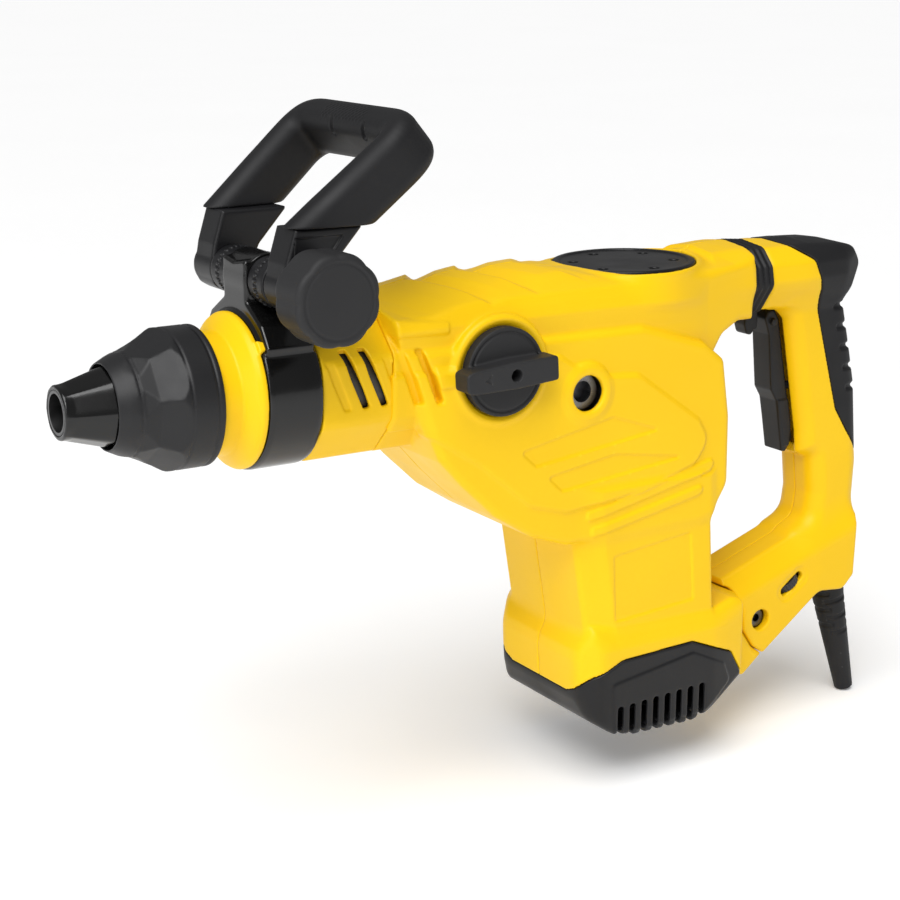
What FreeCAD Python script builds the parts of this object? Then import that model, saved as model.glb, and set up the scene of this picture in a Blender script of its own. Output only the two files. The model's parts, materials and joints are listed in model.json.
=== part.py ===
import FreeCAD, Part
import math
import os

# Rotary hammer with a vertical motor, a rear D-handle and a loop side handle.
# Millimetres.  +X runs from the tool mouth to the rear handle, +Z is up and -Y is the operator's
# left.  The origin is the centre of the bit bore's mouth.

V = FreeCAD.Vector
X_AXIS = V(1, 0, 0)
Y_AXIS = V(0, 1, 0)
Z_AXIS = V(0, 0, 1)

# ---- driving dimensions -------------------------------------------------------------------------
BIT_R = 9.1                 # bore for an 18 mm shank
BIT_DEPTH = 90.0
NOSE_FRONT_R = 12.7
NOSE_REAR_R = 19.6
NOSE_L = 25.0
SLEEVE_R = 34.0
SLEEVE_X0 = 22.0
SLEEVE_X1 = 69.6
SLEEVE_TRAVEL = 9.0
SCALLOPS = 6

COLLAR_NECK_R = 30.5
FLANGE_R = 37.6
FLANGE_X0 = 80.5
FLANGE_X1 = 89.2
SEAT_R = 34.8               # cylindrical seat that the side handle's band goes round
BAND_R = 39.1
BAND_X1 = 117.6
COVER_R = 38.0
COVER_X1 = 160.0

CYL_R = 18.5                # hammer cylinder, outside
CYL_BORE = 15.5
CYL_X0 = 88.0
CYL_X1 = 296.0

HALF_W = 42.0               # gear and motor housing half width
WALL = 3.0
BRIDGE_X = 391.0            # rear end of the main housing's bridge
DAMPER_L = 12.0
HANDLE_X = BRIDGE_X + DAMPER_L
TONGUE_W = 11.0             # half width of the base's lug inside the handle

MOTOR_X = 312.0             # vertical motor axis
CRANK_X = 336.0             # vertical crank axis
BEVEL_X = 272.0             # vertical intermediate shaft
THROW = 12.0
ROD_L = 60.0
MODULE = 1.0
PINION_TEETH = 8
CRANK_TEETH = 40
INTER_TEETH = 72
BEVEL_TEETH = 12
CROWN_TEETH = 36
CROWN_R = 27.0

KNOB_X, KNOB_Z, KNOB_R = 214.0, 3.1, 22.6
PLUG_X, PLUG_Z = 267.2, -15.1
CAP_X, CAP_R = 321.0, 38.4

BOLT_X, BOLT_Z = 103.4, 54.0   # cross bolt of the side handle
LOOP_ANGLE = 40.0
LOOP_HALF_W = 57.0
LOOP_HOLE_W = 33.0
LOOP_DEPTH = 15.5           # half the grip's depth, square to the loop
LOOP_SPLIT_Z = 82.0         # the rubber grip ends and the hard arms begin

TRIGGER_PIN = (421.5, 0.5)
LEVER_PIN = (408.5, 10.6)
DIAL = (433.5, -13.6, -153.9)
PIVOT = (410.0, -171.5)        # lower pivot of the sprung rear handle
SCREWS = ((178, 33), (178, -31), (240, 34), (240, -58), (349, -70), (347, -132), (375, 26))
SCREW_R, SCREW_HEAD_R = 1.9, 3.6
GAP = 0.3                      # clearance between bodies that move past each other
FIT = 0.05                     # radial clearance of a running fit


# ---- building blocks ----------------------------------------------------------------------------
def cyl_x(r, x0, x1, y=0.0, z=0.0):
    return Part.makeCylinder(r, x1 - x0, V(x0, y, z), X_AXIS)


def cyl_y(r, y0, y1, x, z):
    return Part.makeCylinder(r, y1 - y0, V(x, y0, z), Y_AXIS)


def cyl_z(r, z0, z1, x, y=0.0):
    return Part.makeCylinder(r, z1 - z0, V(x, y, z0), Z_AXIS)


def box(x0, x1, y0, y1, z0, z1):
    return Part.makeBox(x1 - x0, y1 - y0, z1 - z0, V(x0, y0, z0))


def face(points):
    return Part.Face(Part.makePolygon(points + [points[0]]))


def prism_y(xz, y0, y1):
    """An outline in the XZ plane, extruded along Y."""
    return face([V(x, y0, z) for x, z in xz]).extrude(V(0, y1 - y0, 0))


def prism_x(yz, x0, x1):
    """An outline in the YZ plane, extruded along X."""
    return face([V(x0, y, z) for y, z in yz]).extrude(V(x1 - x0, 0, 0))


def prism_z(xy, z0, z1):
    """An outline in the XY plane, extruded along Z."""
    return face([V(x, y, z0) for x, y in xy]).extrude(V(0, 0, z1 - z0))


def turned(profile):
    """A closed (x, r) outline turned round the tool axis."""
    return face([V(x, 0, r) for x, r in profile]).revolve(V(0, 0, 0), X_AXIS, 360)


def turned_z(profile, x, y=0.0):
    """A closed (r, z) outline turned round a vertical axis."""
    return face([V(x + r, y, z) for r, z in profile]).revolve(V(x, y, 0), Z_AXIS, 360)


def join(first, *others):
    return first.fuse(list(others)).removeSplitter()


def group(solids):
    return Part.makeCompound(solids)


def mirrored(yz):
    """The +Y side of a symmetric outline, completed on the other side."""
    return yz + [(-y, z) for y, z in reversed(yz) if y > 0]


def export(name, shape):
    shape.exportStep("parts/" + name + ".step")


def left_half(shape):
    return shape.common(box(-50, 650, -150, 0, -400, 300))


def right_half(shape):
    return shape.common(box(-50, 650, 0, 150, -400, 300))


def gear_outline(teeth, module, phase_deg, centre_x):
    """Trapezoid teeth with clearance all round, as XY points."""
    pitch_r = teeth * module / 2
    step = 2 * math.pi / teeth
    half_root, half_tip = 0.30 * step, 0.115 * step
    points = []
    for i in range(teeth):
        mid = math.radians(phase_deg) + i * step
        for angle, r in (
            (mid - half_root, pitch_r - 1.2 * module),
            (mid - half_tip, pitch_r + 0.85 * module),
            (mid + half_tip, pitch_r + 0.85 * module),
            (mid + half_root, pitch_r - 1.2 * module),
        ):
            points.append((centre_x + r * math.cos(angle), r * math.sin(angle)))
    return points


def spur_gear(teeth, phase_deg, x, z0, z1, bore_r):
    blank = prism_z(gear_outline(teeth, MODULE, phase_deg, x), z0, z1)
    return blank.cut(cyl_z(bore_r, z0 - 1, z1 + 1, x))


def sealed_bearing(bore_r, outer_r, width):
    """A sealed ball bearing on Z at the origin, with its shield grooves."""
    ring = cyl_z(outer_r, 0, width, 0).cut(cyl_z(bore_r, -1, width + 1, 0))
    mid_r = (bore_r + outer_r) / 2
    wide = (outer_r - bore_r) * 0.25
    for z0 in (-1.0, width - 0.6):
        groove = cyl_z(mid_r + wide, z0, z0 + 1.6, 0).cut(cyl_z(mid_r - wide, z0 - 1, z0 + 3, 0))
        ring = ring.cut(groove)
    return ring


def bearing_x(bore_r, outer_r, x0, width):
    ring = sealed_bearing(bore_r, outer_r, width)
    ring.rotate(V(0, 0, 0), Y_AXIS, 90)
    ring.translate(V(x0, 0, 0))
    return ring


def bearing_z(bore_r, outer_r, z0, width, x):
    ring = sealed_bearing(bore_r, outer_r, width)
    ring.translate(V(x, 0, z0))
    return ring


# ---- chuck --------------------------------------------------------------------------------------
def nose_cap():
    cone = turned([(0.6, 10.7), (0, 11.4), (0, NOSE_FRONT_R - 0.6), (0.8, NOSE_FRONT_R),
                   (NOSE_L, NOSE_REAR_R), (NOSE_L, 10.7)])
    return cone


def tool_holder():
    body = turned([(0, BIT_R), (0, 10.6), (NOSE_L, 10.6), (NOSE_L + 0.2, 15.0), (66, 15.0),
                   (66, 17.0), (86, 17.0), (86, 15.4), (108, 15.4), (108, 9.6), (BIT_DEPTH, 9.6),
                   (BIT_DEPTH, BIT_R)])
    for side in (-1, 1):
        slot = box(45.5, 61, -3.6, 3.6, side * 12.0 - 4.0, side * 12.0 + 4.0)
        body = body.cut(slot)
    return body


def locking_rollers():
    rollers = []
    for side in (-1, 1):
        rollers.append(cyl_x(3.4, 46.3, 60.3, 0, side * 12.6))
    return group(rollers)


def locking_sleeve():
    outer = [(SLEEVE_X0, 20.8), (27.5, 23.4), (34, 26.0), (43, 30.2), (47.5, SLEEVE_R - 0.9),
             (50, SLEEVE_R), (SLEEVE_X1 - 1.5, SLEEVE_R), (SLEEVE_X1, SLEEVE_R - 1.5)]
    inner = [(SLEEVE_X1, 31.2), (52, 31.2), (46, 26.0), (40, 21.5), (36, 20.5), (36, 15.1), (33, 15.1),
             (33, 20.1), (SLEEVE_X0, 20.0)]
    sleeve = turned(outer + inner)
    for i in range(SCALLOPS):
        cutter = cyl_x(9.0, 28, 46.5, 0, 35.4)
        cutter.rotate(V(28, 0, 30), Y_AXIS, -7)
        cutter.rotate(V(0, 0, 0), X_AXIS, 30 + i * 360.0 / SCALLOPS)
        sleeve = sleeve.cut(cutter)
    return sleeve


def sleeve_spring():
    wire_r, mean_r, pitch, turns = 1.1, 17.2, 5.52, 5
    helix = Part.makeHelix(pitch, pitch * turns, mean_r)
    start = Part.Wire(Part.makeCircle(wire_r, V(mean_r, 0, 0), Y_AXIS))
    coil = Part.Wire(helix).makePipeShell([start], True, True)
    coil.rotate(V(0, 0, 0), Y_AXIS, 90)
    coil.translate(V(37.2, 0, 0))
    return coil


# ---- hammer drive -------------------------------------------------------------------------------
def hammer_cylinder():
    tube = cyl_x(CYL_R, CYL_X0, CYL_X1).cut(cyl_x(CYL_BORE, CYL_X0 - 1, CYL_X1 + 1))
    for i in range(6):
        vent = Part.makeCylinder(1.6, 30, V(196, 0, 0), V(0, math.cos(i * math.pi / 3),
                                                           math.sin(i * math.pi / 3)))
        tube = tube.cut(vent)
    return tube


def crown_gear():
    """Face gear on the cylinder: its teeth stand on the rear face."""
    x1 = BEVEL_X - BEVEL_TEETH * 0.75
    body = cyl_x(CROWN_R + 2.5, x1 - 13, x1 - 1.8).cut(cyl_x(CYL_R, x1 - 20, x1 + 5))
    teeth = []
    for i in range(CROWN_TEETH):
        tooth = box(x1 - 2.4, x1 + 1.2, -0.9, 0.9, -CROWN_R - 2.4, -CROWN_R + 3.0)
        tooth.rotate(V(0, 0, 0), X_AXIS, (i + 0.5) * 360.0 / CROWN_TEETH)
        teeth.append(tooth)
    return join(body, *teeth)


def bevel_shaft():
    """Intermediate shaft with the small gear that drives the crown gear."""
    shaft = cyl_z(5.0, -86, -24, BEVEL_X)
    outline = []
    step = 2 * math.pi / BEVEL_TEETH
    for i in range(BEVEL_TEETH):
        for angle, r in ((-0.26, 7.2), (-0.11, 10.1), (0.11, 10.1), (0.26, 7.2)):
            a = (i + angle) * step
            outline.append((BEVEL_X + r * math.cos(a), r * math.sin(a)))
    pinion = prism_z(outline, -CROWN_R - 2.6, -CROWN_R + 2.8)
    return join(shaft, pinion)


def intermediate_gear():
    gear = spur_gear(INTER_TEETH, 180.0 / INTER_TEETH, BEVEL_X, -74, -65, 5.0)
    for i in range(6):
        a = i * math.pi / 3
        gear = gear.cut(cyl_z(6.0, -75, -60, BEVEL_X + 21 * math.cos(a), 21 * math.sin(a)))
    return gear


def crank_shaft():
    shaft = cyl_z(6.0, -86, -18, CRANK_X)
    disc = cyl_z(17.0, -18, -9, CRANK_X)
    disc = disc.cut(box(CRANK_X + 7, CRANK_X + 30, 9, 30, -20, -5))
    disc = disc.cut(box(CRANK_X + 7, CRANK_X + 30, -30, -9, -20, -5))
    return join(shaft, disc)


def crank_gear():
    gear = spur_gear(CRANK_TEETH, 180.0 / CRANK_TEETH, CRANK_X, -60, -50, 6.0)
    for i in range(5):
        a = (i + 0.5) * 2 * math.pi / 5
        gear = gear.cut(cyl_z(3.2, -61, -49, CRANK_X + 12 * math.cos(a), 12 * math.sin(a)))
    return gear


def connecting_rod():
    big_x = CRANK_X + THROW
    small_x = big_x - ROD_L
    body = join(
        cyl_z(8.5, -5.5, 5.5, big_x),
        cyl_z(7.0, -5.5, 5.5, small_x),
        box(small_x, big_x, -4.0, 4.0, -3.5, 3.5),
    )
    pin = join(cyl_z(4.0, -9 + GAP, 8.0, big_x), cyl_z(5.5, 6.2, 8.0, big_x))
    return join(body, pin).cut(cyl_z(4.0 + FIT, -10, 10, small_x))


def piston():
    pin_x = CRANK_X + THROW - ROD_L
    body = cyl_x(CYL_BORE - FIT, pin_x - 27, pin_x + 8)
    body = body.cut(box(pin_x - 12, pin_x + 9, -11.5, 11.5, -6.2, 6.2))
    body = body.cut(cyl_z(4.0, -20, 20, pin_x))
    ring_x = pin_x - 22
    return body.cut(cyl_x(20, ring_x, ring_x + 3).cut(cyl_x(CYL_BORE - 2.9, ring_x - 1, ring_x + 4)))


def piston_pin():
    return cyl_z(4.0, -13.8, 13.8, CRANK_X + THROW - ROD_L)


def torus_x(x, major, minor):
    ring = Part.makeTorus(major, minor)
    ring.rotate(V(0, 0, 0), Y_AXIS, 90)
    ring.translate(V(x, 0, 0))
    return ring


def piston_ring():
    return torus_x(CRANK_X + THROW - ROD_L - 20.5, CYL_BORE - 1.45, 1.35)


def striker():
    body = join(cyl_x(CYL_BORE - FIT, 176, 218), cyl_x(9.5, 160, 176))
    return body.cut(cyl_x(20, 205, 208).cut(cyl_x(CYL_BORE - 2.9, 204, 209)))


def striker_ring():
    return torus_x(206.5, CYL_BORE - 1.45, 1.35)


def impact_bolt():
    return join(cyl_x(9.5, 100, 122), cyl_x(CYL_BORE - FIT, 122, 140), cyl_x(10, 140, 152))


def front_seal():
    ring = turned([(80, 17.1), (80, 27.4), (85.6, 27.4), (85.6, 24), (82, 24), (82, 19), (84, 17.1)])
    return ring


def barrel_case():
    """Aluminium barrel that carries the cylinder in its two bearings."""
    shell = turned([(86.2, 28.0), (86.2, 31.4), (118, 31.4), (122, 33.6), (204, 33.6), (204, 30.0),
                    (128, 30.0), (128, 26.5), (110, 26.5), (110, 28.0)])
    for i in range(4):
        rib = box(150, 204, -1.6, 1.6, 33.0, 34.8)
        rib.rotate(V(0, 0, 0), X_AXIS, 45 + 90 * i)
        shell = join(shell, rib)
    return shell


def crank_deck():
    """Upper aluminium deck under the crank disc, with two bearing seats."""
    plate = prism_z([(232, -20), (246, -36), (357, -36), (359, -34), (359, 34), (357, 36),
                     (246, 36), (232, 20)], -46, -36)
    plate = plate.common(gearcase(WALL + 0.2))
    plate = plate.cut(cyl_z(13.0, -47, -38, CRANK_X)).cut(cyl_z(8, -47, -30, CRANK_X))
    return plate.cut(cyl_z(11.0, -47, -38, BEVEL_X)).cut(cyl_z(8, -47, -30, BEVEL_X))


def bearing_plate():
    """Lower plate that closes the gearbox over the motor."""
    plate = prism_z([(234, -18), (248, -34), (351, -36), (351, 36), (248, 34), (234, 18)], -90, -77)
    plate = plate.common(gearcase(WALL + 0.2))
    for x, r in ((MOTOR_X, 11.0), (CRANK_X, 11.0), (BEVEL_X, 11.0)):
        plate = plate.cut(cyl_z(r, -86, -76, x))
    return plate.cut(cyl_z(6, -95, -70, MOTOR_X))


def shift_ring():
    ring = cyl_x(24.0, 206, 216).cut(cyl_x(CYL_R + GAP, 200, 220))
    groove = cyl_x(26, 209, 213).cut(cyl_x(22.0, 200, 220))
    return ring.cut(groove)


# ---- motor --------------------------------------------------------------------------------------
def armature_shaft():
    shaft = cyl_z(4.6, -200, -78, MOTOR_X)
    pinion = prism_z(gear_outline(PINION_TEETH, MODULE, 0, MOTOR_X), -78, -48)
    return join(shaft, pinion)


def armature_core():
    core = cyl_z(21.5, -160, -112, MOTOR_X).cut(cyl_z(4.6, -170, -100, MOTOR_X))
    for i in range(12):
        a = i * math.pi / 6
        slot = box(17.0, 23.0, -1.2, 1.2, -165, -105)
        slot.rotate(V(0, 0, 0), Z_AXIS, math.degrees(a))
        slot.translate(V(MOTOR_X, 0, 0))
        core = core.cut(slot)
    return core


def armature_windings():
    ends = []
    for z0 in (-166.5, -111.9):
        ends.append(turned_z([(5.2, z0), (17.5, z0), (19.0, z0 + 3.2), (17.5, z0 + 6.4),
                              (5.2, z0 + 6.4)], MOTOR_X))
    return group(ends)


def commutator():
    body = cyl_z(13.0, -186, -168, MOTOR_X).cut(cyl_z(4.6, -190, -160, MOTOR_X))
    for i in range(24):
        slit = box(11.4, 14.0, -0.3, 0.3, -190, -171)
        slit.rotate(V(0, 0, 0), Z_AXIS, i * 15)
        slit.translate(V(MOTOR_X, 0, 0))
        body = body.cut(slit)
    return body


def fan():
    hub = cyl_z(9.0, -104, -94, MOTOR_X)
    disc = cyl_z(32.0, -96, -94, MOTOR_X)
    blades = []
    for i in range(15):
        blade = box(8.5, 31.5, -0.9, 0.9, -104, -95)
        blade.rotate(V(14, 0, 0), Z_AXIS, 22)
        blade.rotate(V(0, 0, 0), Z_AXIS, i * 24)
        blade.translate(V(MOTOR_X, 0, 0))
        blades.append(blade)
    return join(hub, disc, *blades).cut(cyl_z(4.6, -110, -90, MOTOR_X))


def stator_core():
    ring = cyl_z(36.0, -160, -112, MOTOR_X).cut(cyl_z(22.3, -170, -100, MOTOR_X))
    for side in (-1, 1):
        ring = ring.cut(box(MOTOR_X - 12, MOTOR_X + 12, side * 27 - 3.5, side * 27 + 3.5, -170, -100))
    return ring


def field_coils():
    coils = []
    for side in (-1, 1):
        coil = box(MOTOR_X - 11.5, MOTOR_X + 11.5, side * 27 - 3.2, side * 27 + 3.2, -167, -107)
        coils.append(coil)
    return group(coils)


def brush_holders():
    holders = []
    for side in (-1, 1):
        y0, y1 = sorted((side * 15.0, side * 36.0))
        holder = box(MOTOR_X - 6, MOTOR_X + 6, y0, y1, -184, -171)
        holders.append(holder.cut(box(MOTOR_X - 3.6, MOTOR_X + 3.6, y0 - 1, y1 + 1, -181.5, -173.5)))
    return group(holders)


def carbon_brushes():
    brushes = []
    for side in (-1, 1):
        y0, y1 = sorted((side * 13.2, side * 27.0))
        brushes.append(box(MOTOR_X - 3.5, MOTOR_X + 3.5, y0, y1, -181.4, -173.6))
    return group(brushes)


# ---- main housing -------------------------------------------------------------------------------
TOP_YZ = [(0, 47.5), (22, 45.0), (HALF_W - 3, 27), (HALF_W, 17), (HALF_W, -72), (31, -93)]
BRIDGE_YZ = [(0, 47.0), (18, 44.5), (26, 36), (28, 26), (16, 10), (0, 8)]

GEARCASE_XZ = [(COVER_X1, 38.5), (205, 44), (240, 47.5), (362, 47.5), (362, 4), (365, -8),
               (365, -78), (356, -93), (256, -94), (234, -87), (214, -74), (194, -55),
               (178, -40), (COVER_X1, -37)]
COLUMN_TOP = [(264, -28), (275, -HALF_W), (352, -HALF_W), (355, -39)]
COLUMN_LOW = [(272, -28), (283, -HALF_W), (353, -HALF_W), (357, -39)]
BASE_TOP = [(266, -32), (280, -46), (358, -46), (380, -36), (390, -22)]
BASE_LOW = [(281, -26), (291, -41), (348, -41), (364, -32), (374, -18)]
BASE_WAIST = [(272, -32), (284, -46), (356, -46), (377, -35), (388, -20)]


def inset_points(points, centre, amount):
    """Each point moved towards a centre line by up to the wall thickness, in both directions."""
    cx, cy = centre
    moved = []
    for x, y in points:
        dx = math.copysign(min(amount, abs(x - cx)), cx - x)
        dy = math.copysign(min(amount, abs(y - cy)), cy - y)
        moved.append((x + dx, y + dy))
    return moved


def plan_loft(low, z_low, high, z_high):
    """A straight-sided solid between two mirrored plan outlines."""
    wires = []
    for outline, z in ((low, z_low), (high, z_high)):
        full = outline + [(x, -y) for x, y in reversed(outline)]
        points = [V(x, y, z) for x, y in full]
        wires.append(Part.makePolygon(points + [points[0]]))
    return Part.makeLoft(wires, True, True)


def gearcase(inset):
    side = prism_y(inset_points(GEARCASE_XZ, (270, -20), inset), -60, 60)
    section = prism_x(mirrored(inset_points(TOP_YZ, (0, -20), inset)), 100, 420)
    return side.common(section)


def column(inset):
    low = inset_points(COLUMN_LOW, (312, 0), inset)
    high = inset_points(COLUMN_TOP, (312, 0), inset)
    return plan_loft(low, -150, high, -88)


def base(inset):
    flare_low = inset_points(BASE_TOP[:3] + [(362, -39)], (312, 0), inset)
    flare_high = inset_points(COLUMN_LOW, (312, 0), inset)
    flare = plan_loft(flare_low, -163, flare_high, -149.9)
    low = inset_points(BASE_LOW, (312, 0), inset)
    high = inset_points(BASE_TOP, (312, 0), inset)
    waist = inset_points(BASE_WAIST, (312, 0), inset)
    block = plan_loft(waist, -196, high, -162.9)
    floor = plan_loft(low, -212 + inset, waist, -195.9)
    return flare.fuse([block, floor])


def bridge(inset):
    return prism_x(mirrored(inset_points(BRIDGE_YZ, (0, 27), inset)), 350, BRIDGE_X)


def lower_arm_stub(inset):
    """The base's own piece of the lower handle arm, up to the parting line."""
    w = 22.0 - inset
    outline = [(350, -150), (372, -141), (387, -144), (391, -153), (396, -165), (401, -177),
               (406.5, -188), (411, -193.5), (398, -205), (380, -210), (350, -205)]
    return prism_y(outline, -w, w)


def pivot_tongue(extra, half_w):
    """The base's lug that the sprung handle turns on, or the room for it."""
    x, z = PIVOT
    lug = cyl_y(9.0 + extra, -half_w, half_w, x, z)
    neck = prism_y([(385, -163 + extra), (406, -163 + extra), (x, z), (405, -181 - extra),
                    (392, -181 - extra)], -half_w, half_w)
    return lug.fuse(neck)


def cap_region():
    """Everything below the end cap's upper edge."""
    return prism_y([(250, -180), (279, -184), (293, -166), (341, -164), (369, -174), (377, -188.5),
                    (375, -194), (390, -196), (390, -240), (250, -240)], -60, 60)


def arm_region():
    return prism_y([(377, -188.5), (375, -194), (360, -203), (398, -230), (430, -200), (430, -120),
                    (369, -120), (369, -174)], -60, 60)


def housing_outer():
    boss = cyl_z(CAP_R + 4.0, 24, 43.2, CAP_X)
    knob_boss = cyl_y(KNOB_R + 5.0, -HALF_W - 2.0, -HALF_W + 4, KNOB_X, KNOB_Z)
    plug_boss = cyl_y(16.2, -HALF_W - 1.6, -HALF_W + 4, PLUG_X, PLUG_Z)
    body = gearcase(0).fuse([column(0), base(0), bridge(0), lower_arm_stub(0), boss, knob_boss,
                             plug_boss])
    return body.cut(box(COVER_X1 - 60, COVER_X1, -80, 80, -100, 100))


def housing_void():
    return gearcase(WALL).fuse([
        column(WALL),
        base(WALL),
        prism_x(mirrored(inset_points(BRIDGE_YZ, (0, 27), WALL)), 345, BRIDGE_X + 1),
        prism_y([(350, -152), (373, -144), (384, -147), (388, -155), (402, -188), (396, -200),
                 (380, -206), (350, -200)], -19, 19),
        cyl_x(COVER_R - WALL, COVER_X1 - 5, COVER_X1 + 20),
    ])


def housing_cuts():
    cap_hole = cyl_z(CAP_R - 5.0, 20, 60, CAP_X)
    cap_seat = cyl_z(CAP_R + 0.4, 39.5, 60, CAP_X)
    knob_seat = cyl_y(KNOB_R + 0.4, -60, -HALF_W + 0.5, KNOB_X, KNOB_Z)
    knob_hole = cyl_y(8.0 + GAP, -60, -20, KNOB_X, KNOB_Z)
    plug_hole = cyl_y(9.3, -60, -30, PLUG_X, PLUG_Z)
    gear_pocket = cyl_z(37.6, -76, -63, BEVEL_X)
    cuts = [cap_hole, cap_seat, knob_seat, knob_hole, plug_hole, gear_pocket]
    for x, z in SCREWS:
        cuts.append(cyl_y(SCREW_R + FIT, 19, 60, x, z))
        cuts.append(cyl_y(SCREW_HEAD_R + 0.3, 36.4, 60, x, z))
    return cuts


def housing():
    below = cap_region().cut(arm_region())
    bosses = [cyl_y(5.0, 22, HALF_W - WALL + 0.5, x, z) for x, z in SCREWS]
    body = housing_outer().cut(housing_void()).fuse(bosses).cut(housing_cuts())
    tongue = pivot_tongue(0, TONGUE_W).cut(cyl_y(3.0 + FIT, -40, 40, *PIVOT))
    return body.cut(below).fuse(tongue)


def end_cap():
    block = base(0).cut(lower_arm_stub(0).common(arm_region()))
    skin = block.common(cap_region().cut(arm_region())).cut(base(WALL))
    seat = cyl_z(14.0, -210, -192, MOTOR_X).cut(cyl_z(11.0, -200.1, -190, MOTOR_X))
    skin = skin.fuse(seat)
    for i in range(8):
        x = 291.5 + i * 8.0
        for side in (-1, 1):
            y0, y1 = sorted((side * 38.0, side * 52.0))
            skin = skin.cut(box(x - 1.8, x + 1.8, y0, y1, -205, -188))
    return skin


def front_collar():
    return turned([(62, 27.6), (62, COLLAR_NECK_R - 0.8), (63, COLLAR_NECK_R), (78, COLLAR_NECK_R),
                   (FLANGE_X0, 32.4), (FLANGE_X0 + 1.6, 36.0), (FLANGE_X0 + 4, FLANGE_R),
                   (FLANGE_X1 - 1.5, FLANGE_R), (FLANGE_X1, FLANGE_R - 1.5), (FLANGE_X1, SEAT_R),
                   (BAND_X1 + 0.4, SEAT_R), (BAND_X1 + 0.4, 31.6), (86, 31.6), (86, 27.6)])


def front_cover():
    shell = turned([(BAND_X1 + 0.5, 34.0), (BAND_X1 + 0.5, COVER_R - 1.5), (BAND_X1 + 2, COVER_R),
                    (COVER_X1, COVER_R + 0.6), (COVER_X1, COVER_R - WALL), (122, 34.6)])
    for side in (-1, 1):
        for i in range(4):
            y0, y1 = sorted((side * 26.0, side * 60.0))
            slot = prism_y([(119.5 + 10.5 * i, 22), (123.5 + 10.5 * i, 22), (138 + 10.0 * i, -8),
                            (134 + 10.0 * i, -8)], y0, y1)
            shell = shell.cut(slot)
    return shell


def grease_cap():
    disc = turned_z([(0, 39.6), (CAP_R, 39.6), (CAP_R, 43.6), (CAP_R - 1.2, 44.6), (0, 44.6)], CAP_X)
    skirt = cyl_z(CAP_R - 5.3, 32, 39.7, CAP_X).cut(cyl_z(CAP_R - 8.5, 31, 38.5, CAP_X))
    body = join(disc, skirt)
    for i in range(4):
        a = math.radians(45 + 90 * i)
        body = body.cut(cyl_z(2.6, 41.5, 50, CAP_X + 27 * math.cos(a), 27 * math.sin(a)))
    return body


def mode_knob():
    disc = cyl_y(KNOB_R, -HALF_W - 6.2, -HALF_W, KNOB_X, KNOB_Z)
    stem = cyl_y(8.0, -HALF_W - 0.5, -30.0, KNOB_X, KNOB_Z)
    bar = prism_y([(KNOB_X - 25, KNOB_Z - 4), (KNOB_X - 16, KNOB_Z - 8), (KNOB_X + 16, KNOB_Z - 8),
                   (KNOB_X + 25, KNOB_Z - 4), (KNOB_X + 25, KNOB_Z + 4), (KNOB_X + 16, KNOB_Z + 8),
                   (KNOB_X - 16, KNOB_Z + 8), (KNOB_X - 25, KNOB_Z + 4)], -HALF_W - 16, -HALF_W - 6)
    hole = cyl_y(3.0, -HALF_W - 20, -HALF_W - 8, KNOB_X, KNOB_Z)
    return join(disc, stem, bar).cut(hole)


def side_plug():
    body = cyl_y(9.2, -38.6, -31, PLUG_X, PLUG_Z)
    socket = Part.makeCylinder(5.6, 8, V(PLUG_X, -40, PLUG_Z), Y_AXIS)
    return body.cut(socket)


# ---- rear handle --------------------------------------------------------------------------------
GRIP_EDGE = [(424, 60), (424, 45), (434, 36), (438, 26), (443, 15), (443, 8), (460, -53),
             (470, -66), (484, -84), (520, -84), (520, 60)]
COLUMN_XZ = [(412, 9), (420, 8), (427, 2), (441, -70), (441, -78), (450, -82), (452, -104),
             (450, -118), (452, -158), (474, -162), (487, -158), (491, -120), (490, -88),
             (483, -40), (479, -20), (473, 2), (472, 12), (412, 30)]
ARM_XZ = [(389.6, -143.5), (393, -146), (448, -122), (484, -108), (488, -158), (474, -165),
          (450, -165), (401, -205), (411.7, -193.5), (407.2, -188), (401.7, -177), (396.7, -165),
          (391.7, -153)]
COLUMN_W = 17.0
ARM_W = 21.0


def handle_column():
    side = prism_y(COLUMN_XZ, -COLUMN_W, COLUMN_W)
    plan = prism_z([(405, -11.5), (425, -11.5), (440, -COLUMN_W), (478, -COLUMN_W), (492, -8), (492, 8),
                    (478, COLUMN_W), (440, COLUMN_W), (425, 11.5), (405, 11.5)], -170, 60)
    return side.common(plan)


def handle_head():
    section = prism_x(mirrored(BRIDGE_YZ), HANDLE_X, 485)
    side = prism_y([(HANDLE_X, 60), (HANDLE_X, 0), (436, 0), (448, 8), (464, 12), (478, 24),
                    (478, 31), (470, 39), (456, 44.5), (436, 60)], -40, 40)
    plan = prism_z([(400, -40), (440, -30), (478, -20), (482, 0), (478, 20), (440, 30), (400, 40)],
                   -10, 70)
    return section.common(side).common(plan)


def handle_arm(inset):
    side = prism_y(ARM_XZ, -ARM_W, ARM_W)
    section = prism_x([(-11, -100), (11, -100), (11, -134), (ARM_W - inset, -146),
                       (ARM_W - inset, -225), (-ARM_W + inset, -225), (-ARM_W + inset, -146),
                       (-11, -134)], 380, 500)
    section.rotate(V(440, 0, -126), Y_AXIS, -20)
    return side.common(section)


def handle_outer():
    return handle_column().fuse([handle_head(), handle_arm(0)])


def handle_core():
    """The yellow core that the rubber is moulded over."""
    return prism_y([(430, 4), (446, -74), (456, -110), (457, -158), (486, -158), (486, -86),
                    (478, -36), (474, -17), (468, 4), (467, 12), (466, 38.5), (430, 40)],
                   -13.0, 13.0)


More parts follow.
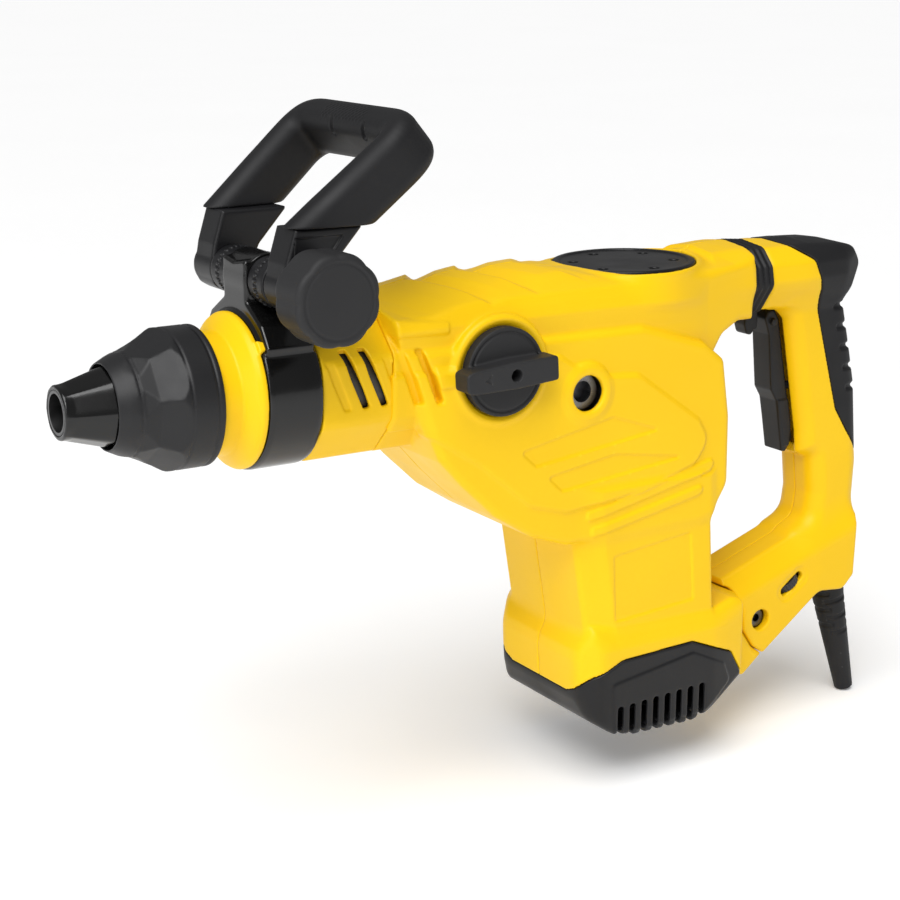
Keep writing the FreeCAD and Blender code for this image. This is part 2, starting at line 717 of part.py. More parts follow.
def handle_void():
    column_void = prism_y([(433, 4), (450, -74), (459, -110), (460, -156), (481, -156), (482, -86),
                           (474, -36), (470, -17), (464, 4), (462, 34), (433, 36)], -10.5, 10.5)
    arm_void = prism_y([(398, -150), (450, -128), (478, -120), (478, -156), (452, -160),
                        (415, -190), (404, -172)], -ARM_W + 4.0, ARM_W - 4.0)
    head_void = box(HANDLE_X - 1, 440, -15, 15, 13, 38)
    return column_void.fuse([arm_void.common(handle_arm(3.0)), head_void])


def handle_grip():
    region = prism_y(GRIP_EDGE, -60, 60)
    return handle_outer().common(region).cut(handle_core())


def guard_axis():
    return V(0.262, 0, -0.965)


def handle_bosses():
    """Seats of the pivot screw, one in each half, beside the base's lug."""
    bosses = []
    for side in (-1, 1):
        y0, y1 = sorted((side * (TONGUE_W + 0.5), side * (ARM_W - 3.0)))
        bosses.append(cyl_y(8.0, y0, y1, *PIVOT))
    return bosses


def dial_frame(shape):
    """From the thumbwheel's own frame, axis on Z and window along X, to its place."""
    shape.rotate(V(0, 0, 0), Y_AXIS, -35.4)
    shape.translate(V(*DIAL))
    return shape


def dial_posts():
    posts = []
    for side in (-1, 1):
        z0, z1 = sorted((side * 2.8, side * 5.0))
        post = box(-3.0, 3.0, -5.0, 3.0, z0, z1)
        posts.append(dial_frame(post.cut(Part.makeCylinder(1.5 + FIT, 12, V(0, 0, -6)))))
    return posts


def handle_shells():
    region = prism_y(GRIP_EDGE, -60, 60)
    yellow = handle_outer().cut(region)
    core = handle_core().common(handle_outer())
    body = yellow.fuse(core).cut(handle_void())
    body = body.fuse(handle_bosses() + dial_posts())
    trigger_slot = prism_y([(405, 11), (427, 11), (434, 2), (449, -72), (445, -82), (405, -82)],
                           -8.6, 8.6)
    trunnion_hole = cyl_y(2.0 + FIT, -10.3, 10.3, *TRIGGER_PIN)
    lever_slot = box(403.4, 415, -5.4, 5.4, 4, 17)
    lever_hole = cyl_y(1.5 + FIT, -8, 8, *LEVER_PIN)
    window = dial_frame(box(-9.6, 9.6, -12, 0, -2.7, 2.7))
    screw_hole = cyl_y(3.0 + FIT, -40, 18, *PIVOT)
    head_seat = cyl_y(5.5, -40, -14, *PIVOT)
    guard_hole = Part.makeCylinder(9.0, 22, V(473.63, 0, -142.4), guard_axis())
    guard_seat = Part.makeCylinder(11.3, 30, V(477.9, 0, -158.2), guard_axis())
    plunger_hole = cyl_x(2.8, 430, 452, 0, -40)
    tongue_slot = pivot_tongue(0.8, TONGUE_W + 0.5)
    return body.cut([trigger_slot, trunnion_hole, lever_slot, lever_hole, window, screw_hole,
                     head_seat, guard_hole, guard_seat, plunger_hole, tongue_slot])


def damper_band():
    ring = prism_x(mirrored(BRIDGE_YZ), BRIDGE_X + 0.1, HANDLE_X - 0.1)
    return ring.cut(prism_x(mirrored(inset_points(BRIDGE_YZ, (0, 27), 5.0)), 380, 420))


def pivot_screw():
    x, z = PIVOT
    head = cyl_y(5.2, -17.5, -14.05, x, z)
    shank = cyl_y(3.0, -14.5, 15, x, z)
    socket = cyl_y(2.4, -21, -15.4, x, z)
    return join(head, shank).cut(socket)


def trigger():
    paddle = prism_y([(416.5, 3), (418.5, 7), (423, 7.6), (426.5, 2), (440.7, -70), (436, -77.5),
                      (433, -77), (427.6, -46.5), (423.2, -39.5), (420, -7)], -7.8, 7.8)
    return join(paddle, cyl_y(2.0, -10.2, 10.2, *TRIGGER_PIN))


def switch_block():
    return join(box(458, 470, -10, 10, -52, -20), cyl_x(2.4, 439.7, 458.5, 0, -40))


def lock_lever():
    hook = prism_y([(405.0, 12.4), (404.5, 7.2), (403.6, 0), (405.5, -5.6), (409, -6.4),
                    (410.8, -3.6), (412.8, -3.4), (413.4, 0.5), (412.4, 12.4)], -5, 5)
    return join(hook, cyl_y(1.5, -7.9, 7.9, *LEVER_PIN))


def speed_dial():
    wheel = Part.makeCylinder(8.3, 4.4, V(0, 0, -2.2))
    for i in range(24):
        a = i * math.pi / 12
        notch = Part.makeCylinder(0.6, 6, V(8.5 * math.cos(a), 8.5 * math.sin(a), -3))
        wheel = wheel.cut(notch)
    return dial_frame(join(wheel, Part.makeCylinder(1.5, 10, V(0, 0, -5))))


def cord_guard():
    axis = guard_axis()
    top = V(478.0, 0, -158.5)
    cone = Part.makeCone(11.0, 5.6, 83.0, top, axis)
    neck = Part.makeCylinder(8.9, 12, V(475.2, 0, -148.2), axis)
    bore = Part.makeCylinder(4.2, 110, V(474.0, 0, -144.0), axis)
    cone = cone.fuse(neck)
    for i in range(4):
        point = top + axis * (14 + 8 * i)
        outer = Part.makeCylinder(20, 2.4, point, axis)
        keep = Part.makeCylinder(9.0 - 0.5 * i, 2.4, point, axis)
        cone = cone.cut(outer.cut(keep))
    return cone.cut(bore)


# ---- side handle --------------------------------------------------------------------------------
def loop_point(s, n):
    """A point in the loop's own plane: s along the grip, n square to it."""
    a = math.radians(LOOP_ANGLE)
    return (119.0 + s * math.cos(a) - n * math.sin(a), 83.0 + s * math.sin(a) + n * math.cos(a))


def aux_band():
    ring = cyl_x(BAND_R, FLANGE_X1 + 0.3, BAND_X1 - 0.1).cut(cyl_x(SEAT_R + GAP, 80, 130))
    saddle = prism_x([(-22, 30), (-13, 40.6), (-12, 41.6), (-12, 64), (12, 64), (12, 41.6),
                      (13, 40.6), (22, 30)], 91, 116)
    body = join(ring, saddle.cut(cyl_x(SEAT_R + GAP, 80, 130)))
    return body.cut(cyl_y(4.0 + FIT, -40, 40, BOLT_X, BOLT_Z))


def aux_bolt():
    return join(cyl_y(8.0, 48.3, 54.0, BOLT_X, BOLT_Z), cyl_y(4.0, -70, 48.4, BOLT_X, BOLT_Z))


def aux_hubs():
    hubs = []
    for side in (-1, 1):
        y0, y1 = sorted((side * 12.3, side * 28.0))
        hub = cyl_y(12.0, y0, y1, BOLT_X, BOLT_Z)
        edge = side * 20.0
        for i in range(24):
            a = i * math.pi / 12
            hub = hub.cut(cyl_y(0.9, edge - 1.4, edge + 1.4, BOLT_X + 12.3 * math.cos(a),
                                BOLT_Z + 12.3 * math.sin(a)))
        hubs.append(hub.cut(cyl_y(4.0 + FIT, y0 - 1, y1 + 1, BOLT_X, BOLT_Z)))
    return group(hubs)


def aux_arms():
    outline = [(92.5, 54), (94, 46), (99, 42.4), (105, 41.6), (111, 44), (114.5, 50), (119, 64),
               (133.5, 80.8), (133.5, LOOP_SPLIT_Z), (100.5, LOOP_SPLIT_Z)]
    arms = []
    for side in (-1, 1):
        y0, y1 = sorted((side * 28.2, side * 48.0))
        arm = prism_y(outline, y0, y1)
        arms.append(arm.cut(cyl_y(4.0 + FIT, y0 - 1, y1 + 1, BOLT_X, BOLT_Z)))
    return group(arms)


def aux_grip():
    outer = [(-24, -LOOP_HALF_W), (42, -LOOP_HALF_W), (55, -51), (63, -40), (65, -20), (65, 0)]
    inner = [(-40, -LOOP_HOLE_W), (34, -LOOP_HOLE_W), (41, -25), (42, 0)]
    solids = []
    for outline in (outer, inner):
        full = outline + [(s, -y) for s, y in reversed(outline[:-1])]
        points = []
        for s, y in full:
            x, z = loop_point(s, -LOOP_DEPTH - (5 if outline is inner else 0))
            points.append(V(x, y, z))
        depth = 2 * LOOP_DEPTH + (10 if outline is inner else 0)
        a = math.radians(LOOP_ANGLE)
        solids.append(face(points).extrude(V(-math.sin(a), 0, math.cos(a)) * depth))
    loop = solids[0].cut(solids[1])
    above = box(60, 220, -80, 80, LOOP_SPLIT_Z + 0.1, 200)
    return loop.common(above)


def aux_knob():
    grip = cyl_y(21.5, -82, -58, BOLT_X, BOLT_Z)
    for i in range(8):
        a = i * math.pi / 4 + math.pi / 8
        grip = grip.cut(cyl_y(5.0, -90, -50, BOLT_X + 25.2 * math.cos(a), BOLT_Z + 25.2 * math.sin(a)))
    stem = cyl_y(9.0, -58.2, -48.3, BOLT_X, BOLT_Z)
    return join(grip, stem).cut(cyl_y(4.0 + FIT, -71, -40, BOLT_X, BOLT_Z))


# ---- bearings and brackets ----------------------------------------------------------------------
def front_bearing():
    return bearing_x(CYL_R + FIT, 26.4, 112, 12)


def cylinder_bracket():
    plate = prism_x([(-34, -36), (34, -36), (34, 8), (20, 30), (-20, 30), (-34, 8)], 284, 292)
    plate = plate.common(gearcase(WALL + 0.2))
    return plate.cut(cyl_x(CYL_R + FIT, 280, 300))


def shaft_bearings():
    return group([
        bearing_z(6.0 + FIT, 13.0, -46, 8, CRANK_X),
        bearing_z(5.0 + FIT, 11.0, -46, 8, BEVEL_X),
        bearing_z(6.0 + FIT, 11.0, -86, 8, CRANK_X),
        bearing_z(5.0 + FIT, 11.0, -86, 8, BEVEL_X),
        bearing_z(4.6 + FIT, 11.0, -86, 7.5, MOTOR_X),
        bearing_z(4.6 + FIT, 11.0, -200, 8, MOTOR_X),
    ])


def housing_screws():
    screws = []
    for x, z in SCREWS:
        head = cyl_y(SCREW_HEAD_R, 36.5, 39.5, x, z)
        screws.append(join(head, cyl_y(SCREW_R, 22.5, 36.6, x, z)).cut(cyl_y(1.6, 38, 41, x, z)))
    return group(screws)


# ---- build --------------------------------------------------------------------------------------
os.makedirs("parts", exist_ok=True)

shell = housing()
export("housing_left", left_half(shell))
export("housing_right", right_half(shell))

handle = handle_shells()
export("handle_left", left_half(handle))
export("handle_right", right_half(handle))

PIECES = {
    "nose_cap": nose_cap, "tool_holder": tool_holder, "locking_rollers": locking_rollers,
    "locking_sleeve": locking_sleeve, "sleeve_spring": sleeve_spring,
    "hammer_cylinder": hammer_cylinder,
    "crown_gear": crown_gear, "bevel_shaft": bevel_shaft, "intermediate_gear": intermediate_gear,
    "crank_shaft": crank_shaft, "crank_gear": crank_gear,
    "connecting_rod": connecting_rod, "piston": piston, "piston_pin": piston_pin,
    "piston_ring": piston_ring, "striker": striker, "striker_ring": striker_ring,
    "impact_bolt": impact_bolt, "front_seal": front_seal, "barrel_case": barrel_case,
    "crank_deck": crank_deck, "bearing_plate": bearing_plate, "shift_ring": shift_ring,
    "armature_shaft": armature_shaft, "armature_core": armature_core,
    "armature_windings": armature_windings, "commutator": commutator, "fan": fan,
    "stator_core": stator_core, "field_coils": field_coils, "brush_holders": brush_holders,
    "carbon_brushes": carbon_brushes, "motor_end_cap": end_cap, "front_collar": front_collar,
    "front_bearing": front_bearing,
    "cylinder_bracket": cylinder_bracket, "shaft_bearings": shaft_bearings,
    "housing_screws": housing_screws,
    "front_cover": front_cover, "grease_cap": grease_cap,
    "mode_knob": mode_knob, "side_plug": side_plug, "handle_grip": handle_grip,
    "damper_band": damper_band, "pivot_screw": pivot_screw,
    "trigger": trigger, "switch_block": switch_block,
    "lock_lever": lock_lever, "speed_dial": speed_dial, "cord_guard": cord_guard,
    "aux_band": aux_band, "aux_bolt": aux_bolt, "aux_hubs": aux_hubs, "aux_arms": aux_arms,
    "aux_grip": aux_grip, "aux_knob": aux_knob,
}
for name, make in PIECES.items():
    export(name, make())
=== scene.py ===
import json
import math

import bpy
import numpy as np
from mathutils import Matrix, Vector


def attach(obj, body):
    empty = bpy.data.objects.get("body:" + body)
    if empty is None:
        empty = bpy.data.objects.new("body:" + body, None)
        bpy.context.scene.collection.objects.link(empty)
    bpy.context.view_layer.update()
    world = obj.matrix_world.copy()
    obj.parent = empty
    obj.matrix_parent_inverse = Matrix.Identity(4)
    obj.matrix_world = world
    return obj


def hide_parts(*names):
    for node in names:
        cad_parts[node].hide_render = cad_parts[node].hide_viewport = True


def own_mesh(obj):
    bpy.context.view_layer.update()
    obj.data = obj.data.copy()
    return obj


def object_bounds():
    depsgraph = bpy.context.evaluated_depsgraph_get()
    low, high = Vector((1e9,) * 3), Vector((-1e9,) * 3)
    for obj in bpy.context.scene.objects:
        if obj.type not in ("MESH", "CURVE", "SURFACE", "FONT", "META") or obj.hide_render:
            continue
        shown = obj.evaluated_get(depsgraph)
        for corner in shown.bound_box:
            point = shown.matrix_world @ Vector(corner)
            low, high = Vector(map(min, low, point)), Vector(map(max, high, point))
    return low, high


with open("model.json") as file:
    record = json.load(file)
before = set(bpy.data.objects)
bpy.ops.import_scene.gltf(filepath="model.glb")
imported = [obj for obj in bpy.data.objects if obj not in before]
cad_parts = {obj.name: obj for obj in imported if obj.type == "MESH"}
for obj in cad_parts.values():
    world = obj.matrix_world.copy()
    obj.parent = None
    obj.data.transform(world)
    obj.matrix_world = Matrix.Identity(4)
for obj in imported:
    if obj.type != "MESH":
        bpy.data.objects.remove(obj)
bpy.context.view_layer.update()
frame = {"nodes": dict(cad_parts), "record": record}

import openvdb as vdb
from mathutils import Euler, Vector

# Lengths in the shape code are millimetres; make() turns them into metres.
COARSE = 1.0
MM = 0.001
FAR = 50.0              # what a field holds before anything is added to it
TABLE_STEP = 0.4        # spacing of the tables that stand in for slow outlines


# ---- distance fields ----------------------------------------------------------------------------
def both(a, b, r=0.0):
    """Where a and b overlap, with the edge between them rounded by r."""
    if r <= 0:
        return np.maximum(a, b)
    outside = np.sqrt(np.maximum(a + r, 0) ** 2 + np.maximum(b + r, 0) ** 2)
    return np.minimum(np.maximum(a, b), -r) + outside


def melt(a, b, k):
    """a and b joined, with a soft fillet about k wide."""
    h = np.maximum(k - np.abs(a - b), 0) / k
    return np.minimum(a, b) - h * h * k * 0.25


def fillet(points, default=0.0, steps=6):
    """An outline with each corner rounded by its third number, or by the default."""
    out = []
    count = len(points)
    for i, point in enumerate(points):
        p = np.array(point[:2], float)
        r = point[2] if len(point) > 2 else default
        back = np.array(points[i - 1][:2], float) - p
        on = np.array(points[(i + 1) % count][:2], float) - p
        lb, lo = np.linalg.norm(back), np.linalg.norm(on)
        angle = math.acos(max(-1.0, min(1.0, float(back @ on) / (lb * lo))))
        if r <= 0 or angle > 3.05:
            out.append(tuple(p))
            continue
        t = min(r / math.tan(angle / 2), 0.48 * lb, 0.48 * lo)
        start, end = p + back / lb * t, p + on / lo * t
        for k in range(steps + 1):
            s = k / steps
            out.append(tuple((1 - s) ** 2 * start + 2 * s * (1 - s) * p + s * s * end))
    return out


def poly(points, u, v):
    """Signed distance to a closed outline in the plane of u and v."""
    pts = np.array(points, dtype=np.float32)
    d, odd = None, None
    for a, b in zip(pts, np.roll(pts, -1, axis=0)):
        ex, ey = b - a
        wu, wv = u - a[0], v - a[1]
        t = np.clip((wu * ex + wv * ey) / (ex * ex + ey * ey + 1e-9), 0, 1)
        dist = (wu - ex * t) ** 2 + (wv - ey * t) ** 2
        up, down, side = v >= a[1], v < b[1], ex * wv > ey * wu
        flip = (up & down & side) | (~up & ~down & ~side)
        d = dist if d is None else np.minimum(d, dist)
        odd = flip if odd is None else odd ^ flip
    return np.where(odd, -1.0, 1.0).astype(np.float32) * np.sqrt(d)


def line(p, a, b, r):
    """A round bar from a to b; p is the three coordinates."""
    a, b = np.array(a, float), np.array(b, float)
    e = b - a
    w = [p[i] - a[i] for i in range(3)]
    t = np.clip((w[0] * e[0] + w[1] * e[1] + w[2] * e[2]) / float(e @ e), 0, 1)
    return np.sqrt(sum((w[i] - e[i] * t) ** 2 for i in range(3))) - r


def mirror(points):
    """The first half of a symmetric outline, completed with the second number negated."""
    return list(points) + [(p[0], -p[1]) + tuple(p[2:]) for p in reversed(points) if p[1]]


def mirror_y(points):
    """The +Y half of a symmetric section, completed with the first number negated."""
    return list(points) + [(-p[0], p[1]) + tuple(p[2:]) for p in reversed(points) if p[0]]


def radius(u, v):
    """Distance from an axis; u and v are the two coordinates across it."""
    return np.sqrt(u * u + v * v)


def fold(u, v, count, offset=0.0):
    """The angle from the middle of the nearest of count equal sectors."""
    step = 2 * math.pi / count
    return np.mod(np.arctan2(v, u) - offset + step / 2, step) - step / 2


class Field:
    """A distance field on a grid; negative inside."""

    def __init__(self, low, high, step):
        self.step = step * COARSE
        self.axes = [
            np.arange(a - 4 * self.step, b + 4 * self.step, self.step, dtype=np.float32)
            for a, b in zip(low, high)
        ]
        self.d = np.full(tuple(len(a) for a in self.axes), FAR, np.float32)

    def window(self, box):
        if box is None:
            return (slice(None),) * 3
        out = []
        for axis, (lo, hi) in zip(self.axes, zip(box[::2], box[1::2])):
            out.append(slice(int(np.searchsorted(axis, lo)), int(np.searchsorted(axis, hi))))
        return tuple(out)

    def points(self, window):
        x, y, z = (axis[w] for axis, w in zip(self.axes, window))
        return x[:, None, None], y[None, :, None], z[None, None, :]

    def add(self, shape, box=None, k=0.0):
        w = self.window(box)
        value = shape(*self.points(w))
        self.d[w] = melt(self.d[w], value, k) if k else np.minimum(self.d[w], value)
        return self

    def cut(self, shape, box=None, r=0.0):
        w = self.window(box)
        self.d[w] = both(self.d[w], -shape(*self.points(w)), r)
        return self

    def keep(self, shape, r=0.0):
        self.d = both(self.d, shape(*self.points((slice(None),) * 3)), r)
        return self

    def emboss(self, shape, height, soft=0.8, box=None):
        """Raises (or with a negative height sinks) the skin where shape is inside."""
        w = self.window(box)
        inside = np.clip(0.5 - shape(*self.points(w)) / (2 * soft), 0, 1)
        self.d[w] = self.d[w] - height * inside * inside * (3 - 2 * inside)
        return self

    def shell(self, wall, of=None):
        """Hollows the field, with the wall measured in from its own skin or from another's."""
        skin = self if of is None else of
        self.d = np.maximum(self.d, -(skin.d + wall))
        return self

    def copy(self):
        other = Field.__new__(Field)
        other.step, other.axes, other.d = self.step, self.axes, self.d.copy()
        return other


def make(name, field, body, material, nodes):
    """Meshes a field into a piece that rides on a body and stands for CAD nodes."""
    band = 3 * field.step
    grid = vdb.FloatGrid(band)
    grid.copyFromArray(np.clip(field.d, -band, band))
    grid.gridClass = vdb.GridClass.LEVEL_SET
    points, tris, quads = grid.convertToPolygons(isovalue=0.0, adaptivity=0.0)
    start = np.array([axis[0] for axis in field.axes])
    points = (points * field.step + start) * MM
    faces = [tuple(int(i) for i in reversed(f)) for f in quads]
    faces += [tuple(int(i) for i in reversed(f)) for f in tris]
    mesh = bpy.data.meshes.new(name)
    mesh.from_pydata(points.tolist(), [], faces)
    mesh.shade_smooth()
    mesh.materials.append(material)
    piece = bpy.data.objects.new(name, mesh)
    bpy.context.scene.collection.objects.link(piece)
    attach(piece, body)
    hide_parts(*nodes)
    return piece


# ---- materials ----------------------------------------------------------------------------------
class Paint:
    """A procedural material: grain, roughness and colour variation, and worn edges."""

    def __init__(self, name, color, rough, metallic=0.0, coat=0.0, sheen=0.0, gloss=0.5):
        self.material = bpy.data.materials.new(name)
        self.material.use_nodes = True
        self.tree = self.material.node_tree
        self.bsdf = self.tree.nodes["Principled BSDF"]
        self.bsdf.inputs["Base Color"].default_value = (*color, 1)
        self.bsdf.inputs["Metallic"].default_value = metallic
        self.bsdf.inputs["Coat Weight"].default_value = coat
        self.bsdf.inputs["Coat Roughness"].default_value = 0.12
        self.bsdf.inputs["Sheen Weight"].default_value = sheen
        self.bsdf.inputs["Specular IOR Level"].default_value = gloss
        self.color, self.rough, self.normal = color, rough, None
        self.coords = self.node("ShaderNodeTexCoord").outputs["Object"]

    def node(self, kind, **values):
        made = self.tree.nodes.new(kind)
        for key, value in values.items():
            setattr(made, key, value)
        return made

    def noise(self, scale, detail=4.0, stretch=None, distortion=0.0):
        vector = self.coords
        if stretch:
            mapping = self.node("ShaderNodeMapping")
            mapping.inputs["Scale"].default_value = stretch
            self.tree.links.new(vector, mapping.inputs["Vector"])
            vector = mapping.outputs["Vector"]
        made = self.node("ShaderNodeTexNoise")
        made.inputs["Scale"].default_value = scale
        made.inputs["Detail"].default_value = detail
        made.inputs["Distortion"].default_value = distortion
        self.tree.links.new(vector, made.inputs["Vector"])
        return made.outputs["Fac"]

    def span(self, value, low, high, from_low=0.3, from_high=0.7):
        made = self.node("ShaderNodeMapRange")
        made.inputs["From Min"].default_value = from_low
        made.inputs["From Max"].default_value = from_high
        made.inputs["To Min"].default_value = low
        made.inputs["To Max"].default_value = high
        self.tree.links.new(value, made.inputs["Value"])
        return made.outputs["Result"]

    def mix(self, factor, a, b):
        made = self.node("ShaderNodeMix", data_type="RGBA")
        for index, value in ((6, a), (7, b)):
            if isinstance(value, tuple):
                made.inputs[index].default_value = (*value, 1)
            else:
                self.tree.links.new(value, made.inputs[index])
        self.tree.links.new(factor, made.inputs[0])
        return made.outputs[2]

    def grain(self, height, depth, strength=1.0):
        made = self.node("ShaderNodeBump")
        made.inputs["Distance"].default_value = depth
        made.inputs["Strength"].default_value = strength
        self.tree.links.new(height, made.inputs["Height"])
        if self.normal is not None:
            self.tree.links.new(self.normal, made.inputs["Normal"])
        self.normal = made.outputs["Normal"]
        return self

    def finish(self, shade, wear, patch_scale=9.0, rough_span=0.06, wear_at=(0.53, 0.60)):
        """shade is the colour of the darker patches and wear that of rubbed edges."""
        patches = self.span(self.noise(patch_scale, 3.0), 0.0, 1.0)
        color = self.mix(patches, self.color, shade)
        fine = self.span(self.noise(420.0, 5.0), 0.0, 0.35)
        color = self.mix(fine, color, shade)
        edge = self.node("ShaderNodeNewGeometry").outputs["Pointiness"]
        rubbed = self.span(edge, 0.0, 0.6, *wear_at)
        color = self.mix(rubbed, color, wear)
        rough = self.span(self.noise(38.0, 6.0), self.rough - rough_span, self.rough + rough_span)
        self.tree.links.new(color, self.bsdf.inputs["Base Color"])
        self.tree.links.new(rough, self.bsdf.inputs["Roughness"])
        if self.normal is not None:
            self.tree.links.new(self.normal, self.bsdf.inputs["Normal"])
        return self.material


def moulded(name, color, shade, wear, rough, depth=0.00003, scale=2600.0, **more):
    paint = Paint(name, color, rough, **more)
    paint.grain(paint.noise(scale, 3.0), depth, 0.6)
    paint.grain(paint.noise(60.0, 2.0), 0.00008, 0.25)
    return paint.finish(shade, wear)


def metal(name, color, shade, wear, rough, stretch, **more):
    paint = Paint(name, color, rough, metallic=1.0, **more)
    paint.grain(paint.noise(240.0, 6.0, stretch=stretch), 0.00002, 0.5)
    paint.grain(paint.noise(900.0, 3.0), 0.00001, 0.4)
    return paint.finish(shade, wear, patch_scale=30.0, rough_span=0.08)


YELLOW = moulded("moulded_yellow", (0.93, 0.585, 0.004), (0.88, 0.54, 0.003),
                 (0.94, 0.62, 0.012), 0.40, gloss=0.22)
BLACK = moulded("moulded_black", (0.010, 0.010, 0.011), (0.006, 0.006, 0.007),
                (0.05, 0.05, 0.055), 0.40, gloss=0.3)
GLOSS = moulded("gloss_black", (0.004, 0.004, 0.004), (0.003, 0.003, 0.003),
                (0.03, 0.03, 0.032), 0.16, depth=0.00001, gloss=0.45)
SLEEVE = moulded("sleeve_black", (0.014, 0.014, 0.015), (0.009, 0.009, 0.01),
                 (0.06, 0.06, 0.062), 0.45, gloss=0.35)
KNOB = moulded("knob_grey", (0.026, 0.026, 0.027), (0.020, 0.020, 0.021),
               (0.06, 0.06, 0.062), 0.55, gloss=0.25)
RUBBER = moulded("grip_rubber", (0.010, 0.010, 0.011), (0.006, 0.006, 0.007),
                 (0.035, 0.035, 0.035), 0.58, depth=0.00006, scale=1500.0, gloss=0.3)
NYLON = moulded("dark_nylon", (0.03, 0.03, 0.033), (0.02, 0.02, 0.022),
                (0.08, 0.08, 0.08), 0.5, gloss=0.3)
CARBON = moulded("carbon", (0.02, 0.02, 0.02), (0.01, 0.01, 0.01), (0.05, 0.05, 0.05), 0.6)
STEEL = metal("turned_steel", (0.52, 0.52, 0.53), (0.40, 0.40, 0.41), (0.7, 0.7, 0.7),
              0.32, (1, 12, 12))
DARK_STEEL = metal("blackened_steel", (0.035, 0.035, 0.038), (0.02, 0.02, 0.022),
                   (0.2, 0.2, 0.2), 0.36, (1, 12, 12))
GEAR = metal("gear_steel", (0.33, 0.33, 0.34), (0.22, 0.22, 0.23), (0.55, 0.55, 0.55),
             0.38, (1, 1, 10))
ALLOY = metal("cast_alloy", (0.60, 0.61, 0.63), (0.50, 0.51, 0.53), (0.75, 0.75, 0.76),
              0.5, (1, 1, 1))
# Painted shade: the barrel case casting is made near black so that the open vents in the barrel
# cover show a dark inside.
VENT_SHADE_ALLOY = metal("vent_shade_casting", (0.05, 0.045, 0.04), (0.03, 0.03, 0.03),
                   (0.2, 0.2, 0.2), 0.55, (1, 1, 1))
PLUG = metal("plug_steel", (0.17, 0.17, 0.18), (0.09, 0.09, 0.10), (0.4, 0.4, 0.4),
             0.42, (8, 1, 8))
LAMINATE = metal("lamination", (0.24, 0.24, 0.26), (0.16, 0.16, 0.17), (0.4, 0.4, 0.4),
                 0.5, (1, 1, 60))
COPPER = metal("copper_wire", (0.70, 0.32, 0.13), (0.45, 0.18, 0.06), (0.85, 0.5, 0.3),
               0.35, (1, 1, 40))

SLOT_PAINT = {
    "housing_plastic": YELLOW, "black_plastic": BLACK, "soft_rubber": RUBBER, "nose_grey": GLOSS,
    "chrome_steel": PLUG, "machined_steel": STEEL, "gear_steel": GEAR, "spring_steel": GEAR,
    "cast_alloy": ALLOY, "lamination": LAMINATE, "copper": COPPER, "carbon": CARBON,
    "nylon": NYLON, "seal_rubber": RUBBER,
}
# barrel_case gets the near-black casting, which is painted shade for the view through the vents.
NODE_PAINT = {"tool_holder": DARK_STEEL, "barrel_case": VENT_SHADE_ALLOY, "pivot_screw": DARK_STEEL,
              "aux_bolt": DARK_STEEL}
for row in frame["record"]["subparts"]:
    node = frame["nodes"].get(row["node"])
    if node is not None and node.type == "MESH":
        node.data.materials.clear()
        node.data.materials.append(NODE_PAINT.get(row["node"], SLOT_PAINT[row["material_slot"]]))


# ---- chuck --------------------------------------------------------------------------------------
NOSE_L, NOSE_R, NOSE_RISE = 25.0, 12.7, 7.1
BORE_R = 10.7
FLAT_TURN = 0.2
# Radius of the sleeve's flats along X: a long front row, and a short row between them.
LONG_FLATS = ((22, 31, 40, 50, 54.5, 60), (24.5, 24.8, 26.6, 32.0, 34.1, 37.0))
SHORT_FLATS = ((22, 28.5, 34, 38, 46, 60), (24.0, 24.0, 25.0, 27.3, 33.5, 44.0))


def turned(profile, r):
    """A shape turned about the X axis, with the corners of its profile rounded by r."""
    outline = fillet(profile, r)
    return lambda x, y, z: poly_around(outline, x, radius(y, z))


def poly_around(outline, x, r):
    """poly() through a table, since r varies over the whole grid."""
    rows = np.arange(0.0, float(r.max()) + 1.5, TABLE_STEP, dtype=np.float32)
    table = poly(outline, x[:, :, 0], rows[None, :])
    at = np.clip(r / TABLE_STEP, 0, len(rows) - 2)[0]
    low = at.astype(np.int32)
    part = at - low
    return table[:, low] * (1 - part) + table[:, low + 1] * part


def nose_shape(x, y, z):
    """A cone with eight faint flats and a rolled lip, bored for the bit."""
    r = radius(y, z)
    outer = NOSE_R + NOSE_RISE * (x / NOSE_L)
    across = r * np.cos(fold(y, z, 8, math.pi / 8))
    flats = both(r - outer, across - (outer - 0.9 - 0.5 * (x > 23)), 0.5)
    lip = both(r - 13.0, np.abs(x - 2.2) - 2.2, 0.9)
    d = melt(both(flats, np.abs(x - NOSE_L / 2) - NOSE_L / 2, 1.0), lip, 0.8)
    return both(d, BORE_R - r, 0.6)


def sleeve_flats(x, y, z):
    """Flutes cut by flat planes, meeting the round barrel of the sleeve in a zigzag."""
    r = radius(y, z)
    long_cut = r * np.cos(fold(y, z, 8, FLAT_TURN)) - np.interp(x, *LONG_FLATS)
    short_cut = r * np.cos(fold(y, z, 8, FLAT_TURN + math.pi / 8)) - np.interp(x, *SHORT_FLATS)
    return both(long_cut, short_cut, 0.3)


def collar_pointer(x, y, z):
    """The small pointed tooth on the rear edge of the flange."""
    outline = [(88, -3.4), (94.5, -1.2), (94.5, 1.2), (88, 3.4)]
    tooth = poly(outline, x, y * 0.66 + z * 0.75)
    return both(both(tooth, np.abs(radius(y, z) - 38.4) - 2.0, 0.6), y + 10)


nose = Field((0, -21, -21), (NOSE_L, 21, 21), 0.5).add(nose_shape)
make("nose", nose, "spindle", GLOSS, ["nose_cap"])

